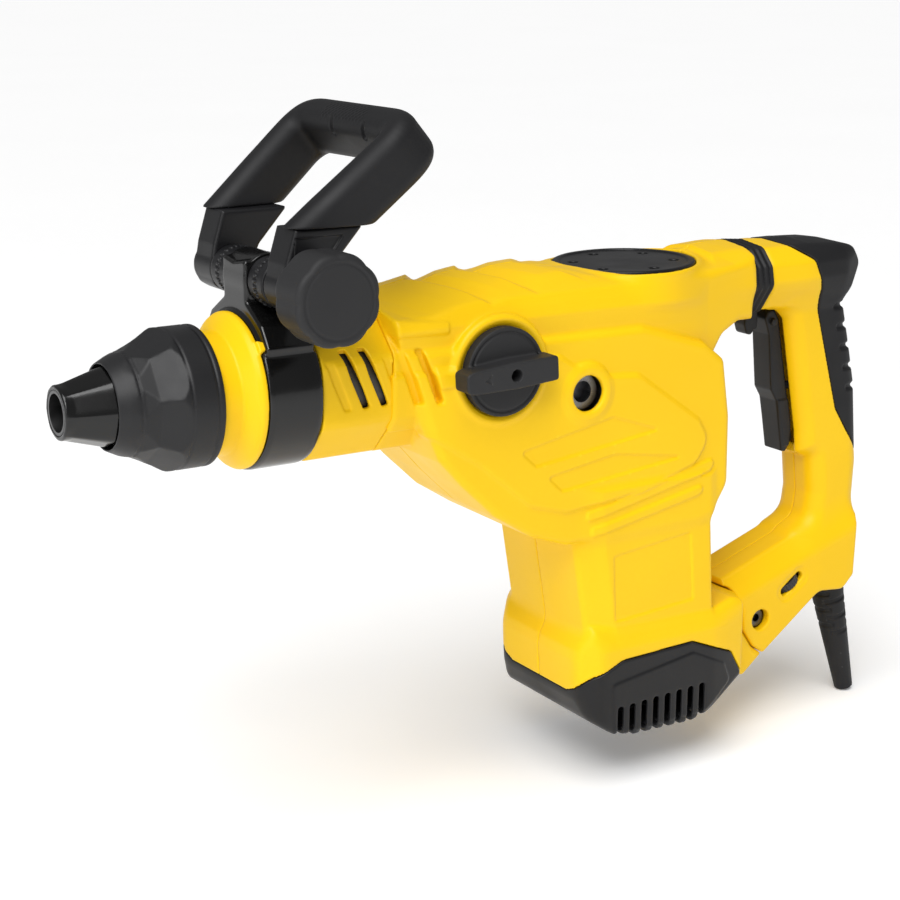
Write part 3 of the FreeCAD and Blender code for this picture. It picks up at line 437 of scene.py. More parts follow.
sleeve = Field((22, -35, -35), (70, 35, 35), 0.55)
sleeve.add(turned([(22, 20.6, 0.5), (27.5, 23.4), (34, 26), (43, 30.2, 3), (47.5, 33.2, 2),
                   (50, 34, 1), (69.6, 34, 1.2), (69.6, 31.2), (52, 31.2), (46, 26), (38, 20.6),
                   (33, 20.1), (22, 20.0)], 0.3))
sleeve.keep(sleeve_flats, r=0.35)
sleeve.cut(lambda x, y, z: both(np.abs(x - 32.2) - 0.35, 24.6 - radius(y, z)), r=0.2)
for x0 in (53.5, 66.3):
    sleeve.cut(lambda x, y, z: radius(radius(y, z) - 34.2, x - x0) - 0.7, r=0.2)
make("sleeve", sleeve, "sleeve", SLEEVE, ["locking_sleeve"])

collar = Field((62, -44, -40), (118, 40, 40), 0.6)
collar.add(turned([(62, 27.6), (62, 30.3, 0.8), (79.8, 30.4, 1.5), (84.6, 36.8, 2),
                   (86.8, 38.2, 0.8), (89.2, 38.2, 0.6), (89.2, 34.8), (118, 34.8), (118, 31.6),
                   (86, 31.6), (86, 27.6)], 0.3))
collar.add(collar_pointer, k=1.0)
make("collar", collar, "housing", YELLOW, ["front_collar"])


# ---- side handle --------------------------------------------------------------------------------
BOLT_X, BOLT_Z, BOLT_R = 103.4, 54.0, 4.05
BAND_R = 35.1
LOOP_X, LOOP_Z, LOOP_TILT = 119.0, 83.0, math.radians(40)
LOOP_DEPTH = 14.2
SPLIT_Z = 82.2
KNOB_R, KNOB_LOBE = 21.7, 1.05
SADDLE = fillet(mirror_y([(0, 62), (12, 64, 2), (12, 44, 2), (27, 35, 2), (34, 25, 2),
                          (30, 14, 2), (0, 14)]), 0.5)
LOOP_OUTER = fillet(mirror([(-26, -50, 3), (12, -54.5, 30), (65.5, -59.5, 27)]), 1.0, steps=12)
LOOP_INNER = fillet(mirror([(-60, -31, 2), (0, -35.5, 20), (46.5, -41.5, 4), (47, 0)]), 1.0)
LOOP_ARM = fillet([(92.5, 54, 2), (94, 46, 6), (102, 41.4, 8), (111, 43.5, 6), (115, 52, 4),
                   (119, 64, 8), (134, 80.6, 1), (134, 82), (99.6, 82), (94.6, 66, 3)], 0.5)
ARM_RECESS = [(97.5, 57), (99.5, 78), (124, 78), (112, 62), (110, 57)]


def loop_axes(x, z):
    """Distance along the tilted loop, and square to it."""
    u, w = x - LOOP_X, z - LOOP_Z
    return (u * math.cos(LOOP_TILT) + w * math.sin(LOOP_TILT),
            -u * math.sin(LOOP_TILT) + w * math.cos(LOOP_TILT))


def tube_y(x, z, r):
    """A tube of radius r on the clamp bolt's axis."""
    return radius(x - BOLT_X, z - BOLT_Z) - r


def drum(r, y0, half, soft):
    """A disc on the clamp bolt's axis, half wide either side of y0."""
    return lambda x, y, z: both(tube_y(x, z, r), np.abs(y - y0) - half, soft)


def bolt_hole(x, y, z):
    return tube_y(x, z, BOLT_R)


def hub_teeth(x, y, z):
    """Grooves round the middle of both hubs."""
    groove = np.abs(fold(x - BOLT_X, z - BOLT_Z, 28)) * 12.0 - 0.55
    return both(both(groove, 11.2 - tube_y(x, z, 0.0)), np.abs(np.abs(y) - 20.1) - 1.5)


def loop_shape(x, y, z):
    """The loop, with its ring looked up in a table of the distance along it and y."""
    s, n = loop_axes(x, z)
    along = s[:, 0, :]
    grid = np.arange(along.min() - 1, along.max() + 1, TABLE_STEP, dtype=np.float32)
    u, v = grid[:, None], y[0, :, 0][None, :]
    ring = both(poly(LOOP_OUTER, u, v), -poly(LOOP_INNER, u, v), 7.0)
    at = (along - grid[0]) / TABLE_STEP
    low = at.astype(np.int32)
    part = (at - low)[..., None]
    picked = ring[low] * (1 - part) + ring[low + 1] * part
    return both(picked.transpose(0, 2, 1), np.abs(n) - LOOP_DEPTH, 8.0)


def grip_slot(x, y, z, y0):
    s, n = loop_axes(x, z)
    return line((s, y, n), (47.5, y0, 7.0), (50.5, y0, 14.0), 1.8)


def stipple(x, y, z):
    """Rows of small dots across the middle of the loop's top bar."""
    s, n = loop_axes(x, z)
    dots = np.cos(s * 1.9) * np.cos(y * 1.9)
    zone = np.maximum(np.maximum(50 - s, s - 61), np.abs(y) - 20)
    return both(0.35 - dots, zone)


def knob_shape(x, y, z):
    """An eight-lobed head on a round neck."""
    r = tube_y(x, z, 0.0)
    a = fold(x - BOLT_X, z - BOLT_Z, 8, math.pi / 8)
    lobes = r - (KNOB_R - KNOB_LOBE * (1 - np.cos(a * 4)))
    head = both(lobes, np.abs(y + 70) - 12, 3.2)
    neck = both(r - 12.0, np.abs(y + 55) - 6.5, 1.0)
    return melt(head, neck, 3.0)


band = Field((89, -40, -40), (118, 40, 66), 0.6)
band.add(turned([(89.6, 35.1), (89.6, 38.6, 0.8), (92, 39.1), (115, 39.1), (117.5, 38.6, 0.8),
                 (117.5, 35.1)], 0.2))
band.add(lambda x, y, z: both(both(poly(SADDLE, y, z), np.abs(x - 103.5) - 12.5, 1.5),
                              BAND_R - radius(y, z)), k=1.5)
band.add(drum(12.6, 0.0, 12.0, 1.0), k=1.0)
band.cut(drum(BOLT_R, 0.0, 30, 0.0))
for z0 in (47, 51, 57, 61):
    band.cut(lambda x, y, z: np.maximum(np.abs(z - z0) - 0.6, 91.8 - x),
             box=(88, 92, -11, 11, 42, 66), r=0.3)
make("clamp_band", band, "aux_clamp", GLOSS, ["aux_band"])

hubs = Field((90, -29, 41), (117, 29, 67), 0.5)
for side in (-1, 1):
    hubs.add(drum(11.6, side * 20.1, 7.7, 1.0))
    hubs.add(drum(12.3, side * 20.1, 1.3, 0.3))
hubs.cut(hub_teeth)
hubs.cut(bolt_hole)
make("hubs", hubs, "aux_loop", BLACK, ["aux_hubs"])

arms = Field((91, -49, 41), (135, 49, 83), 0.55)
for side in (-1, 1):
    arms.add(lambda x, y, z: both(poly(LOOP_ARM, x, z), np.abs(y - side * 38.1) - 9.9, 1.8))
    arms.cut(lambda x, y, z: both(poly(ARM_RECESS, x, z), np.abs(y - side * 48.6) - 1.6, 0.5))
    arms.add(drum(11.2, side * 38.3, 10.1, 1.0))
arms.cut(bolt_hole)
make("loop_arms", arms, "aux_loop", BLACK, ["aux_arms"])

grip = Field((86, -59, 80), (182, 59, 140), 0.6)
grip.add(loop_shape)
grip.keep(lambda x, y, z: SPLIT_Z - z, r=0.8)
for y0 in (9.0, -22.0):
    grip.cut(lambda x, y, z: grip_slot(x, y, z, y0), r=0.4)
grip.emboss(stipple, 0.35, soft=0.3)
make("loop_grip", grip, "aux_loop", RUBBER, ["aux_grip"])

knob = Field((80, -83, 31), (127, -48, 78), 0.55)
knob.add(knob_shape)
knob.cut(lambda x, y, z: radius(tube_y(x, z, 17.2), y + 82.4) - 0.8, r=0.4)
knob.cut(lambda x, y, z: both(tube_y(x, z, BOLT_R), -70 - y))
make("clamp_knob", knob, "aux_knob", KNOB, ["aux_knob"])


# ---- main housing -------------------------------------------------------------------------------
HALF_W = 42.0
WALL = 3.0
SEAM = 0.04
SKIN_Y = -30.0
KNOB_X, KNOB_Z = 214.0, 3.1
PLUG_X, PLUG_Z = 267.2, -15.1
CAP_X = 321.0
PIVOT_X, PIVOT_Z = 410.0, -171.5
SCREWS = ((178, 33), (178, -31), (240, 34), (240, -58), (349, -70), (347, -132), (375, 26))
BRIDGE = fillet(mirror_y([(0, 47.2), (18, 45.0, 6), (26, 36, 4), (28, 26, 5), (17, 10, 5),
                          (0, 8)]), 1.0)
# Height of the roof along X, with its three swept steps and the dip under the grease cap.
ROOF = np.array([(150, 37.5), (160, 38.8), (174, 41.8), (189.5, 44.8), (194, 41.5), (196, 41.7),
                 (207, 45.2), (219, 47.0), (224, 43.5), (226, 43.6), (240, 46.8), (254, 48.2),
                 (260, 45.4), (266, 45.4), (284, 43.2), (362, 43.4), (378, 46.0), (400, 47.0)])
ROOF_SWEEP, ROOF_SHIFT, ROOF_CROWN = 0.62, 5.0, 0.0045
LOWER_XZ = fillet([(160, 17), (304, 15.6, 6), (346, 2.5, 8), (359.5, -8, 6), (364.5, -40),
                   (365, -78, 12), (355.5, -93, 5), (345, -96), (258, -96, 5), (236, -88, 14),
                   (214, -74, 18), (194, -55, 16), (181, -40.5, 6), (176, -29, 5),
                   (171, -13, 5)], 1.0)
UPPER_XZ = fillet([(156.5, 50), (391, 50), (391, 8), (379, 8.5, 8), (366, 3, 10), (358, -8, 8),
                   (350, -20), (173, -20), (159.5, 22, 4), (156.5, 34, 2)], 1.0)
UPPER_XY = fillet(mirror([(140, -HALF_W), (322, -HALF_W, 40), (352, -34.5, 40), (391, -27.5),
                          (410, -27.5)]), 1.0)
SECTION = fillet(mirror_y([(0, 49), (23, 46, 5), (36.5, 37.5, 3), (41.2, 27, 1.5), (38.6, 14, 3),
                           (38.6, -76, 6), (30, -97)]), 0.5)
BASE_XZ = fillet([(276, -146), (269, -158, 4), (266.5, -164), (269.5, -186, 10),
                  (274.5, -198, 12), (287, -206.5, 14), (302, -210.5, 8), (342, -211.5, 6),
                  (353, -208.5, 2), (379, -193.8, 2), (384, -196, 2), (399, -204.2, 2),
                  (413, -192.9, 0.6), (405.3, -187.5, 5), (397.3, -175.7, 6), (395.7, -163.5, 5),
                  (388.8, -150.4, 5), (378.6, -146.8, 0.6), (373, -145.5, 4), (357, -149, 4)], 0.6)
BASE_XY = fillet(mirror([(266, -34, 12), (280, -45.8, 14), (356, -46, 20), (379.5, -41.5, 3),
                         (386, -27, 8), (396, -22.2, 8), (420, -22.2)]), 1.0)
SIDE_PANEL = fillet([(150, -27.5), (176, -27.5, 8), (202.9, -45, 10), (233.3, -70.6, 14),
                     (256, -77.2, 14), (303.7, -72.3, 20), (340.5, -62.8, 14), (348.5, -50, 10),
                     (341.6, -38.6, 8), (300.5, -9.3, 8), (269.6, -6.5, 3), (250, 6),
                     (150, 6)], 1.0)
STRIPS = [[(226.2, -40.8, 2), (235.6, -49.4, 1), (314.4, -40.3, 1), (284, -29.7, 2)],
          [(242.6, -56.3, 2), (252.2, -64.8, 1), (331.9, -57.2, 1), (285.5, -49.9, 2)]]
RIBS = [[(269, -84.6), (350, -68.2), (353.5, -65.0), (351.5, -61.6), (269, -79.0)],
        [(272, -93.6), (342, -80.6), (345.5, -78.0), (343.5, -74.8), (272, -88.2)]]
LABEL = fillet([(287.9, -106.7), (339.3, -101.3), (342.8, -140.2), (289.8, -143.7)], 1.5)
BLOCKS = [[(158, 33), (186, 29.6), (186, 24.2), (158, 24.4)],
          [(177, 8.6), (188, 7.6), (188, -2.4), (177, -2)]]
TONGUE = fillet([(380, -163.2), (404, -163.2), (410, -162.4, 7), (419, PIVOT_Z, 9),
                 (410, -180.6, 7), (380, -181)], 0.5)
CAP_EDGE = [(250, -176), (262, -181), (272, -174.4), (293, -165.3), (340.5, -163.6),
            (370.2, -176.0), (378.9, -189.6), (379.6, -194.5), (392, -198.5), (392, -240),
            (250, -240)]
# Height of the end cap's front edge against the distance from the middle.
CAP_FRONT = ((0, 26, 33, 39, 60), (-185.0, -185.0, -181.5, -177.0, -174.0))
CAP_PANEL = fillet([(286, -178), (341, -170), (364, -181), (369, -192), (352, -206),
                    (288, -208)], 3.0)


def throat(x):
    """Half width, narrowing to the barrel at the front."""
    t = np.clip((x - 157) / 30, 0, 1)
    return 39.6 + (HALF_W - 39.6) * t * t * (3 - 2 * t)


def octagon(y, z, apothem):
    r = radius(y, z)
    return both(r - apothem - 2.3, r * np.cos(fold(y, z, 8)) - apothem, 0.4)


def barrel_body(x, y, z):
    return both(octagon(y, z, 36.9), np.abs(x - 176) - 20)


def lower_body(x, y, z):
    return both(poly(LOWER_XZ, x, z), np.abs(y) - throat(x), 4.0)


def upper_body(x, y, z):
    """The gear case above the side panels, under a crowned and stepped roof."""
    sides = both(poly(UPPER_XZ, x, z), poly(SECTION, y, z) + HALF_W - throat(x), 1.5)
    at = x - ROOF_SWEEP * np.abs(y) + ROOF_SHIFT
    roof = np.interp(at, ROOF[:, 0], ROOF[:, 1]).astype(np.float32)
    crest = z - roof - 0.5 + ROOF_CROWN * y * y
    return both(both(sides, poly(UPPER_XY, x, y), 4.0), crest * 0.95, 1.5)


def bridge_body(x, y, z):
    return both(poly(BRIDGE, y, z), np.abs(x - 379) - 12.5)


def column_body(x, y, z):
    """The motor column, with a bowed front face that slopes back as it goes down."""
    front = 264.5 + (-90 - z) * 0.165
    rear = 353.5 + (-90 - z) * 0.065
    mid, half = (front + rear) / 2, (rear - front) / 2
    depth = np.abs(x - mid) - half
    width = HALF_W - 6.0 * np.clip((front + 16 - x) / 16, 0, 1)
    bow = 0.0008 * (36.0 ** 2 - y * y) * np.clip((mid - x) / 20, 0, 1)
    return both(both(depth - bow, np.abs(y) - width, 2.5), np.abs(z + 118) - 46)


def base_waist(x, y, z):
    """Chamfer that turns the base's sides into the column's."""
    lift = np.maximum(z + 159, 0)
    return np.maximum(np.abs(y) - 46.2 + lift * 0.45, (268 + lift * 0.35) - x)


def base_whole(x, y, z):
    """The foot of the housing and the end cap together, before they are parted."""
    d = both(poly(BASE_XZ, x, z), poly(BASE_XY, x, y), 4.0)
    return both(d, base_waist(x, y, z), 2.5)


def cap_line(x, y, z):
    """Inside where the black end cap goes."""
    side = poly(CAP_EDGE, x, z)
    front = z - np.interp(np.abs(y), *CAP_FRONT).astype(np.float32)
    t = np.clip((x - 268) / 8, 0, 1)
    return front * (1 - t) + side * t


def screw_post(at, r, y0, y1, soft=0.0):
    return lambda x, y, z: both(radius(x - at[0], z - at[1]) - r,
                                np.abs(y - (y0 + y1) / 2) - (y1 - y0) / 2, soft)


def relief(outline, height, soft, x0, x1, z0, z1, behind=SKIN_Y, top=SKIN_Y):
    """Raises or sinks an outline on the left side of the case."""
    case.emboss(lambda x, y, z: np.maximum(poly(outline, x, z), y - behind), height, soft,
                box=(x0, x1, -49, top, z0, z1))


def seat(cx, cz, r, face, rim, height, x0, x1, z0, z1):
    """A round boss on the left side, with a raised ring of the given radius and half width."""
    case.add(lambda x, y, z: both(radius(x - cx, z - cz) - r,
                                  np.maximum(-y - face, y - SKIN_Y), 1.2),
             box=(x0, x1, -49, -25, z0, z1), k=2.0)
    case.emboss(lambda x, y, z: np.maximum(np.abs(radius(x - cx, z - cz) - rim[0]) - rim[1],
                                           y - SKIN_Y), height, 0.8,
                box=(x0, x1, -49, SKIN_Y, z0, z1))


def well(cx, r, floor):
    """A round hole down through the roof to the given height."""
    return lambda x, y, z: np.maximum(radius(x - cx, y) - r, floor - z)


def side_hole(cx, cz, r, y0):
    """A round hole in the left side, as deep as y0."""
    return lambda x, y, z: np.maximum(radius(x - cx, z - cz) - r, y - y0)


def split(field, name, body, nodes):
    """Makes the two halves of a shell, either side of the seam at y = 0."""
    for side, hand in ((-1, "left"), (1, "right")):
        half = field.copy()
        half.keep(lambda x, y, z: SEAM - side * y, r=0.25)
        make(name + hand, half, body, YELLOW, [nodes + hand])


case = Field((156.5, -49, -216), (413, 49, 50), 0.85)
case.add(lower_body)
case.add(upper_body, k=2.0)
case.add(barrel_body, box=(150, 205, -49, 49, -49, 49), k=1.5)
case.add(bridge_body, box=(340, 392, -40, 40, -10, 60), k=6.0)
case.add(column_body, box=(240, 400, -60, 60, -175, -60), k=6.0)
case.add(base_whole, box=(250, 420, -60, 60, -220, -120), k=3.0)
case.keep(lambda x, y, z: np.maximum(x - np.where(z > -60, 391.0, 415.0), 157.2 - x), r=0.5)

relief(SIDE_PANEL, 1.9, 1.5, 150, 372, -100, 30)
seat(KNOB_X, KNOB_Z, 28.5, 43.6, (26.0, 1.4), 0.9, 180, 250, -35, 40)
seat(PLUG_X, PLUG_Z, 15.8, 44.2, (12.0, 2.0), 0.6, 245, 290, -40, 10)
for strip in STRIPS:
    relief(fillet(strip, 0.5), -0.9, 0.6, 220, 336, -70, -25)
for rib in RIBS:
    relief(fillet(rib, 2.2), 1.2, 0.6, 262, 360, -100, -55)
relief(LABEL, -0.7, 0.5, 280, 350, -150, -95)
for block in BLOCKS:
    relief(fillet(block, 1.0), 1.3, 0.7, 150, 200, -10, 40, behind=-25.0, top=-20.0)

for side in (-1, 1):
    for i in range(2):
        x0 = 157.5 + 10.0 * i
        groove = fillet([(x0, 17.5), (x0 + 4.0, 17.5), (x0 + 9.5, 4), (x0 + 14.0, -9.5),
                         (x0 + 10.0, -9.5), (x0 + 5.2, 4)], 1.2)
        case.cut(lambda x, y, z: np.maximum(poly(groove, x, z), 36.6 - side * y),
                 box=(150, 190, -49, 49, -14, 22), r=0.8)
case.cut(lambda x, y, z: line((x, y, z), (228.5, -37.5, -79.0), (242.5, -36.5, -83.4), 1.0),
         box=(222, 250, -45, -28, -92, -72), r=0.4)
case.add(lambda x, y, z: both(radius(x - CAP_X, y) - 41.0,
                              np.abs(z - 34) - 8.2 - (x - CAP_X) * 0.02, 1.0),
         box=(270, 372, -49, 49, 20, 50), k=6.0)

for sx, sz in SCREWS:
    case.add(screw_post((sx, sz), 6.2, 20, 40.3, 1.0),
             box=(sx - 14, sx + 14, 8, 49, sz - 14, sz + 14), k=3.5)
case.shell(WALL)
for sx, sz in SCREWS:
    near = (sx - 9, sx + 9, 8, 49, sz - 9, sz + 9)
    case.add(screw_post((sx, sz), 5.0, 22, 38), box=near)
    case.cut(screw_post((sx, sz), 2.1, 20, 50), box=near)
    case.cut(screw_post((sx, sz), 4.0, 36.3, 60), box=near, r=0.4)

case.add(lambda x, y, z: np.maximum(both(poly(TONGUE, x, z), np.abs(y) - 10.8, 0.5),
                                    4.2 - radius(x - PIVOT_X, z - PIVOT_Z)),
         box=(378, 425, -20, 20, -190, -155))
case.cut(well(CAP_X, 38.8, 40.0), r=0.5)
case.cut(well(CAP_X, 33.4, 20.0))
case.cut(lambda x, y, z: radius(y, z) - 34.0, box=(150, 168, -49, 49, -49, 49))
case.cut(side_hole(KNOB_X, KNOB_Z, 23.1, -42.4), r=0.4)
case.cut(side_hole(KNOB_X, KNOB_Z, 8.4, -20))
case.cut(side_hole(PLUG_X, PLUG_Z, 9.4, -30), r=0.8)
case.cut(lambda x, y, z: cap_line(x, y, z) - 0.25, box=(240, 395, -60, 60, -220, -150), r=0.4)
split(case, "shell_", "housing", "housing_")

end_cap = Field((264, -49, -216), (382, 49, -158), 0.7)
end_cap.add(base_whole)
end_cap.keep(lambda x, y, z: cap_line(x, y, z) + 0.25, r=0.5)
end_cap.keep(lambda x, y, z: x - 380.5)
end_cap.emboss(lambda x, y, z: np.maximum(poly(CAP_PANEL, x, z), 30 - np.abs(y)), 0.9, 0.8)
end_cap.shell(WALL)
for i in range(8):
    x0, top = 292.0 + i * 8.0, -191.5 + i * 0.3
    vent = fillet([(x0 - 2.0, top, 1.9), (x0 + 2.0, top, 1.9), (x0 + 2.0, -218),
                   (x0 - 2.0, -218)], 0.5)
    end_cap.cut(lambda x, y, z: np.maximum(poly(vent, x, z), 37 - np.abs(y)),
                box=(x0 - 5, x0 + 5, -60, 60, -220, -180), r=0.5)
for i in range(9):
    y0 = -16 + i * 4.0
    end_cap.cut(lambda x, y, z: np.maximum(np.maximum(np.abs(y - y0) - 0.9, z + 205),
                                           np.abs(x - 318) - 20),
                box=(295, 342, y0 - 4, y0 + 4, -216, -200), r=0.3)
make("end_cap", end_cap, "housing", BLACK, ["motor_end_cap"])

cover = Field((118, -43, -41), (157.2, 43, 41), 0.6)
cover.add(lambda x, y, z: both(both(octagon(y, z, 36.7), np.abs(x - 137.6) - 19.4, 0.8),
                               34.6 - radius(y, z)))
for side in (-1, 1):
    for i in range(4):
        x0 = 118.6 + 10.2 * i
        groove = fillet([(x0, 20), (x0 + 4.2, 20), (x0 + 9.5, 6), (x0 + 15.2, -8.5),
                         (x0 + 11.2, -8.5), (x0 + 5.0, 6)], 1.2)
        deep = 30.0 if i in (1, 2) else 35.8        # the middle two are open vents
        cover.cut(lambda x, y, z: np.maximum(poly(groove, x, z), deep - side * y), r=0.7)
make("barrel_cover", cover, "housing", YELLOW, ["front_cover"])


def lid_shape(x, y, z):
    """The grease cap: a thin disc that leans a little, with a ring under it."""
    r = radius(x - CAP_X, y)
    rise = 43.4 + 0.02 * (x - CAP_X)
    disc = both(r - 38.4, np.maximum(z - rise, 39.6 - z), 0.9)
    return melt(disc, both(np.abs(r - 31.5) - 1.6, np.abs(z - 36) - 4.0), 0.5)


lid = Field((281, -40, 31), (361, 40, 45.5), 0.55)
lid.add(lid_shape)
lid.cut(lambda x, y, z: np.maximum(radius(x - CAP_X, y) - 34.6,
                                   42.6 + 0.02 * (x - CAP_X) - z), r=0.5)
for i in range(6):
    a = math.radians(30 + 60 * i)
    cx, cy = CAP_X + 27 * math.cos(a), 27 * math.sin(a)
    lid.cut(lambda x, y, z: np.maximum(radius(x - cx, y - cy) - 2.7, 39.0 - z), r=0.4)
make("lid", lid, "housing", BLACK, ["grease_cap"])

BAR = fillet(mirror([(-28.5, -4.6, 2.5), (-24, -5.8), (0, -6.8), (25, -6.2, 2)]), 1.0)
BAR_SLANT = math.radians(3.0)


def selector_shape(x, y, z):
    """A disc with a long pointed bar across it, on a round stem."""
    u, w = x - KNOB_X, z - KNOB_Z
    r = radius(u, w)
    disc = both(r - 22.5, np.abs(y + 45.3) - 3.1, 0.9)
    stem = both(r - 8.0, np.abs(y + 38) - 8.0)
    p = u * math.cos(BAR_SLANT) + w * math.sin(BAR_SLANT)
    q = -u * math.sin(BAR_SLANT) + w * math.cos(BAR_SLANT)
    bar = both(poly(BAR, p, q), np.abs(y + 52) - 6.2, 1.0)
    return melt(np.minimum(disc, stem), bar, 1.5)


selector = Field((184, -60, -23), (242, -30, 29), 0.5)
selector.add(selector_shape)
selector.cut(side_hole(KNOB_X, KNOB_Z, 3.1, -50), r=0.5)
selector.cut(lambda x, y, z: np.maximum(poly([(195.5, 2.6), (199.5, 5.0), (199.5, 0.4)], x, z),
                                        y + 57.6), r=0.2)
selector.cut(lambda x, y, z: np.maximum(np.abs(radius(x - KNOB_X, z - KNOB_Z) - 19.8) - 0.5,
                                        np.abs(y + 48.4) - 0.6), r=0.2)
make("selector", selector, "selector", KNOB, ["mode_knob"])


# ---- rear handle --------------------------------------------------------------------------------
HEAD_X = 403.2
CORE_DEPTH, HANDLE_WALL, RUBBER_T = 3.4, 5.6, 3.2
DIAL_X, DIAL_Z, DIAL_LEAN = 433.5, -153.9, math.radians(35.4)
# The rubber grip cover is everything behind this line.
GRIP_EDGE = fillet([(414, 70), (414, 50), (436.1, 36.8, 5), (443.8, 19, 6), (446.4, 8.7, 3),
                    (464.5, -53.5, 6), (474, -68, 5), (486, -84), (520, -84), (520, 70)], 0.5)
COLUMN_XZ = fillet([(415, 9), (421, 8, 2), (427, 2, 4), (440, -66), (441, -78, 2),
                    (449.5, -82, 2), (452, -104, 8), (450, -120, 8), (440, -126), (450, -158),
                    (474, -162, 3), (482.5, -157, 6), (486, -120, 20), (487.5, -88, 20),
                    (483, -40, 30), (478, -18, 14), (472.5, 4, 8), (470, 14), (430, 30)], 1.0)
HEAD_XZ = fillet([(HEAD_X, 60), (HEAD_X, 7.8), (424, 7.8, 3), (440, 4), (460, 6), (470, 14, 8),
                  (481.8, 29, 3), (480.6, 33.5, 4), (473, 40.6, 8), (458, 45.6, 14),
                  (440, 47.6), (420, 60)], 1.0)
HEAD_XY = fillet(mirror([(395, -28.5), (432, -28.5, 20), (462, -24, 14), (481.6, -14, 10),
                         (482.4, 0)]), 1.0)
ARM_XZ = fillet([(380.2, -146.5, 0.6), (448, -123.4), (474, -106), (483, -120),
                 (482, -156.5, 4), (474, -164.5, 6), (455, -162.5, 10), (413.4, -192.6, 0.4),
                 (405.7, -187.3, 5), (397.7, -175.6, 6), (396.5, -163.1, 5),
                 (389.7, -149.8, 5)], 0.6)
TRIGGER_SLOT = [(400, 11.5), (427, 11.5), (435, 2), (449.5, -72), (445, -81.5), (400, -81.5)]
TONGUE_SLOT = [(385, -162), (406, -162), (410, -161.7), (419.8, PIVOT_Z), (410, -181.3),
               (405, -182), (392, -182)]
TRIGGER_XZ = fillet([(416.5, 3, 2), (418.5, 7, 2), (423, 7.6, 2), (426.5, 2, 2),
                     (440.7, -70, 1), (436, -77.5, 1), (433, -77, 1), (427.6, -46.5, 3),
                     (423.2, -39.5, 3), (420, -7)], 0.8)
TRIGGER_SIDE = [(428, -46), (434, -74), (438, -74), (440, -46)]
LEVER_XZ = fillet([(405.0, 12.4, 1), (404.5, 7.2), (403.7, 0, 2), (405.5, -5.6, 3),
                   (409, -6.4, 2), (410.8, -3.4, 1), (412.8, -3.4, 1), (413.4, 0.5, 1),
                   (412.4, 12.4, 1)], 0.8)
GUARD_X, GUARD_Z, GUARD_HALF = 478.0, -158.5, 41.4
GUARD_DIR = (0.262, -0.965)


def arm_shape(x, y, z):
    """The lower arm, with its top edges chamfered along the slope of the arm."""
    slope = (np.abs(y) - 14.0) * 0.85 + (z + 132.9 - 0.34 * (x - 420)) * 0.50
    return both(both(poly(ARM_XZ, x, z), np.abs(y) - 22.0, 2.0), slope, 1.5)


def handle_shape(x, y, z):
    column = both(poly(COLUMN_XZ, x, z), np.abs(y) - 17.2, 10.5)
    head = both(both(poly(HEAD_XZ, x, z), poly(BRIDGE, y, z), 4.0), poly(HEAD_XY, x, y), 5.0)
    return melt(melt(column, head, 6.0), arm_shape(x, y, z), 8.0)


def dial_window(x, y, z):
    """The slanted slot over the speed dial."""
    u, w = x - DIAL_X, z - DIAL_Z
    p = u * math.cos(DIAL_LEAN) + w * math.sin(DIAL_LEAN)
    q = -u * math.sin(DIAL_LEAN) + w * math.cos(DIAL_LEAN)
    return both(both(np.abs(p) - 9.0, np.abs(q) - 2.9, 2.4), y + 12)


def bellows_shape(x, y, z):
    """Three soft folds with the bridge's outline."""
    section = poly(BRIDGE, y, z)
    wave = 0.5 * np.cos((x - 397) * 2 * math.pi / 4.0) - 0.5
    return both(both(section + wave, np.abs(x - 397.1) - 6.3, 0.5), -(section + 5.0))


def guard_shape(x, y, z):
    """A taper with staggered notches, on a neck inside the handle, bored for the cord."""
    t = (x - GUARD_X) * GUARD_DIR[0] + (z - GUARD_Z) * GUARD_DIR[1]
    u = (x - GUARD_X) * GUARD_DIR[1] - (z - GUARD_Z) * GUARD_DIR[0]
    r = radius(u, y)
    cone = r - (11.0 - 5.4 * np.clip(t / 83.0, 0, 1) ** 0.92)
    d = both(cone, np.abs(t - GUARD_HALF) - GUARD_HALF, 1.0)
    for i in range(6):
        sector = np.cos(2 * np.arctan2(y, u) + (math.pi if i % 2 else 0.0))
        floor = 9.3 - 0.36 * i + 2.2 * (sector < -0.35)
        d = both(d, -both(np.abs(t - 12.5 - i * 5.6) - 1.4, floor - r, 0.3), 0.5)
    neck = both(r - 8.8, np.abs(t + 5.0) - 6.0)
    return both(np.minimum(d, neck), 4.2 - r, 0.4)


whole = Field((389, -29, -208), (493, 29, 49), 0.75)
whole.add(handle_shape)
whole.keep(lambda x, y, z: HEAD_X - x - 100.0 * (z < -60), r=0.6)

handle = whole.copy()
handle.cut(lambda x, y, z: poly(GRIP_EDGE, x, z) - 0.25, r=0.5)
handle.d = np.minimum(handle.d, whole.d + CORE_DEPTH)
handle.shell(HANDLE_WALL, whole)
handle.cut(lambda x, y, z: both(poly(TRIGGER_SLOT, x, z), np.abs(y) - 8.6, 0.6), r=0.8)
handle.cut(lambda x, y, z: both(radius(x - PIVOT_X, z - PIVOT_Z) - 6.2, y + 15.0), r=0.8)
handle.emboss(lambda x, y, z: np.maximum(dial_window(x, y, z) - 3.2, y + 12), -0.6, 0.8)
handle.cut(dial_window, r=0.7)
handle.cut(lambda x, y, z: np.maximum(line((x, y, z), (473.6, 0, -142.4), (484, 0, -180), 9.1),
                                      -170 - z))
handle.cut(lambda x, y, z: both(poly(TONGUE_SLOT, x, z), np.abs(y) - 11.5))
split(handle, "handle_shell_", "handle", "handle_")

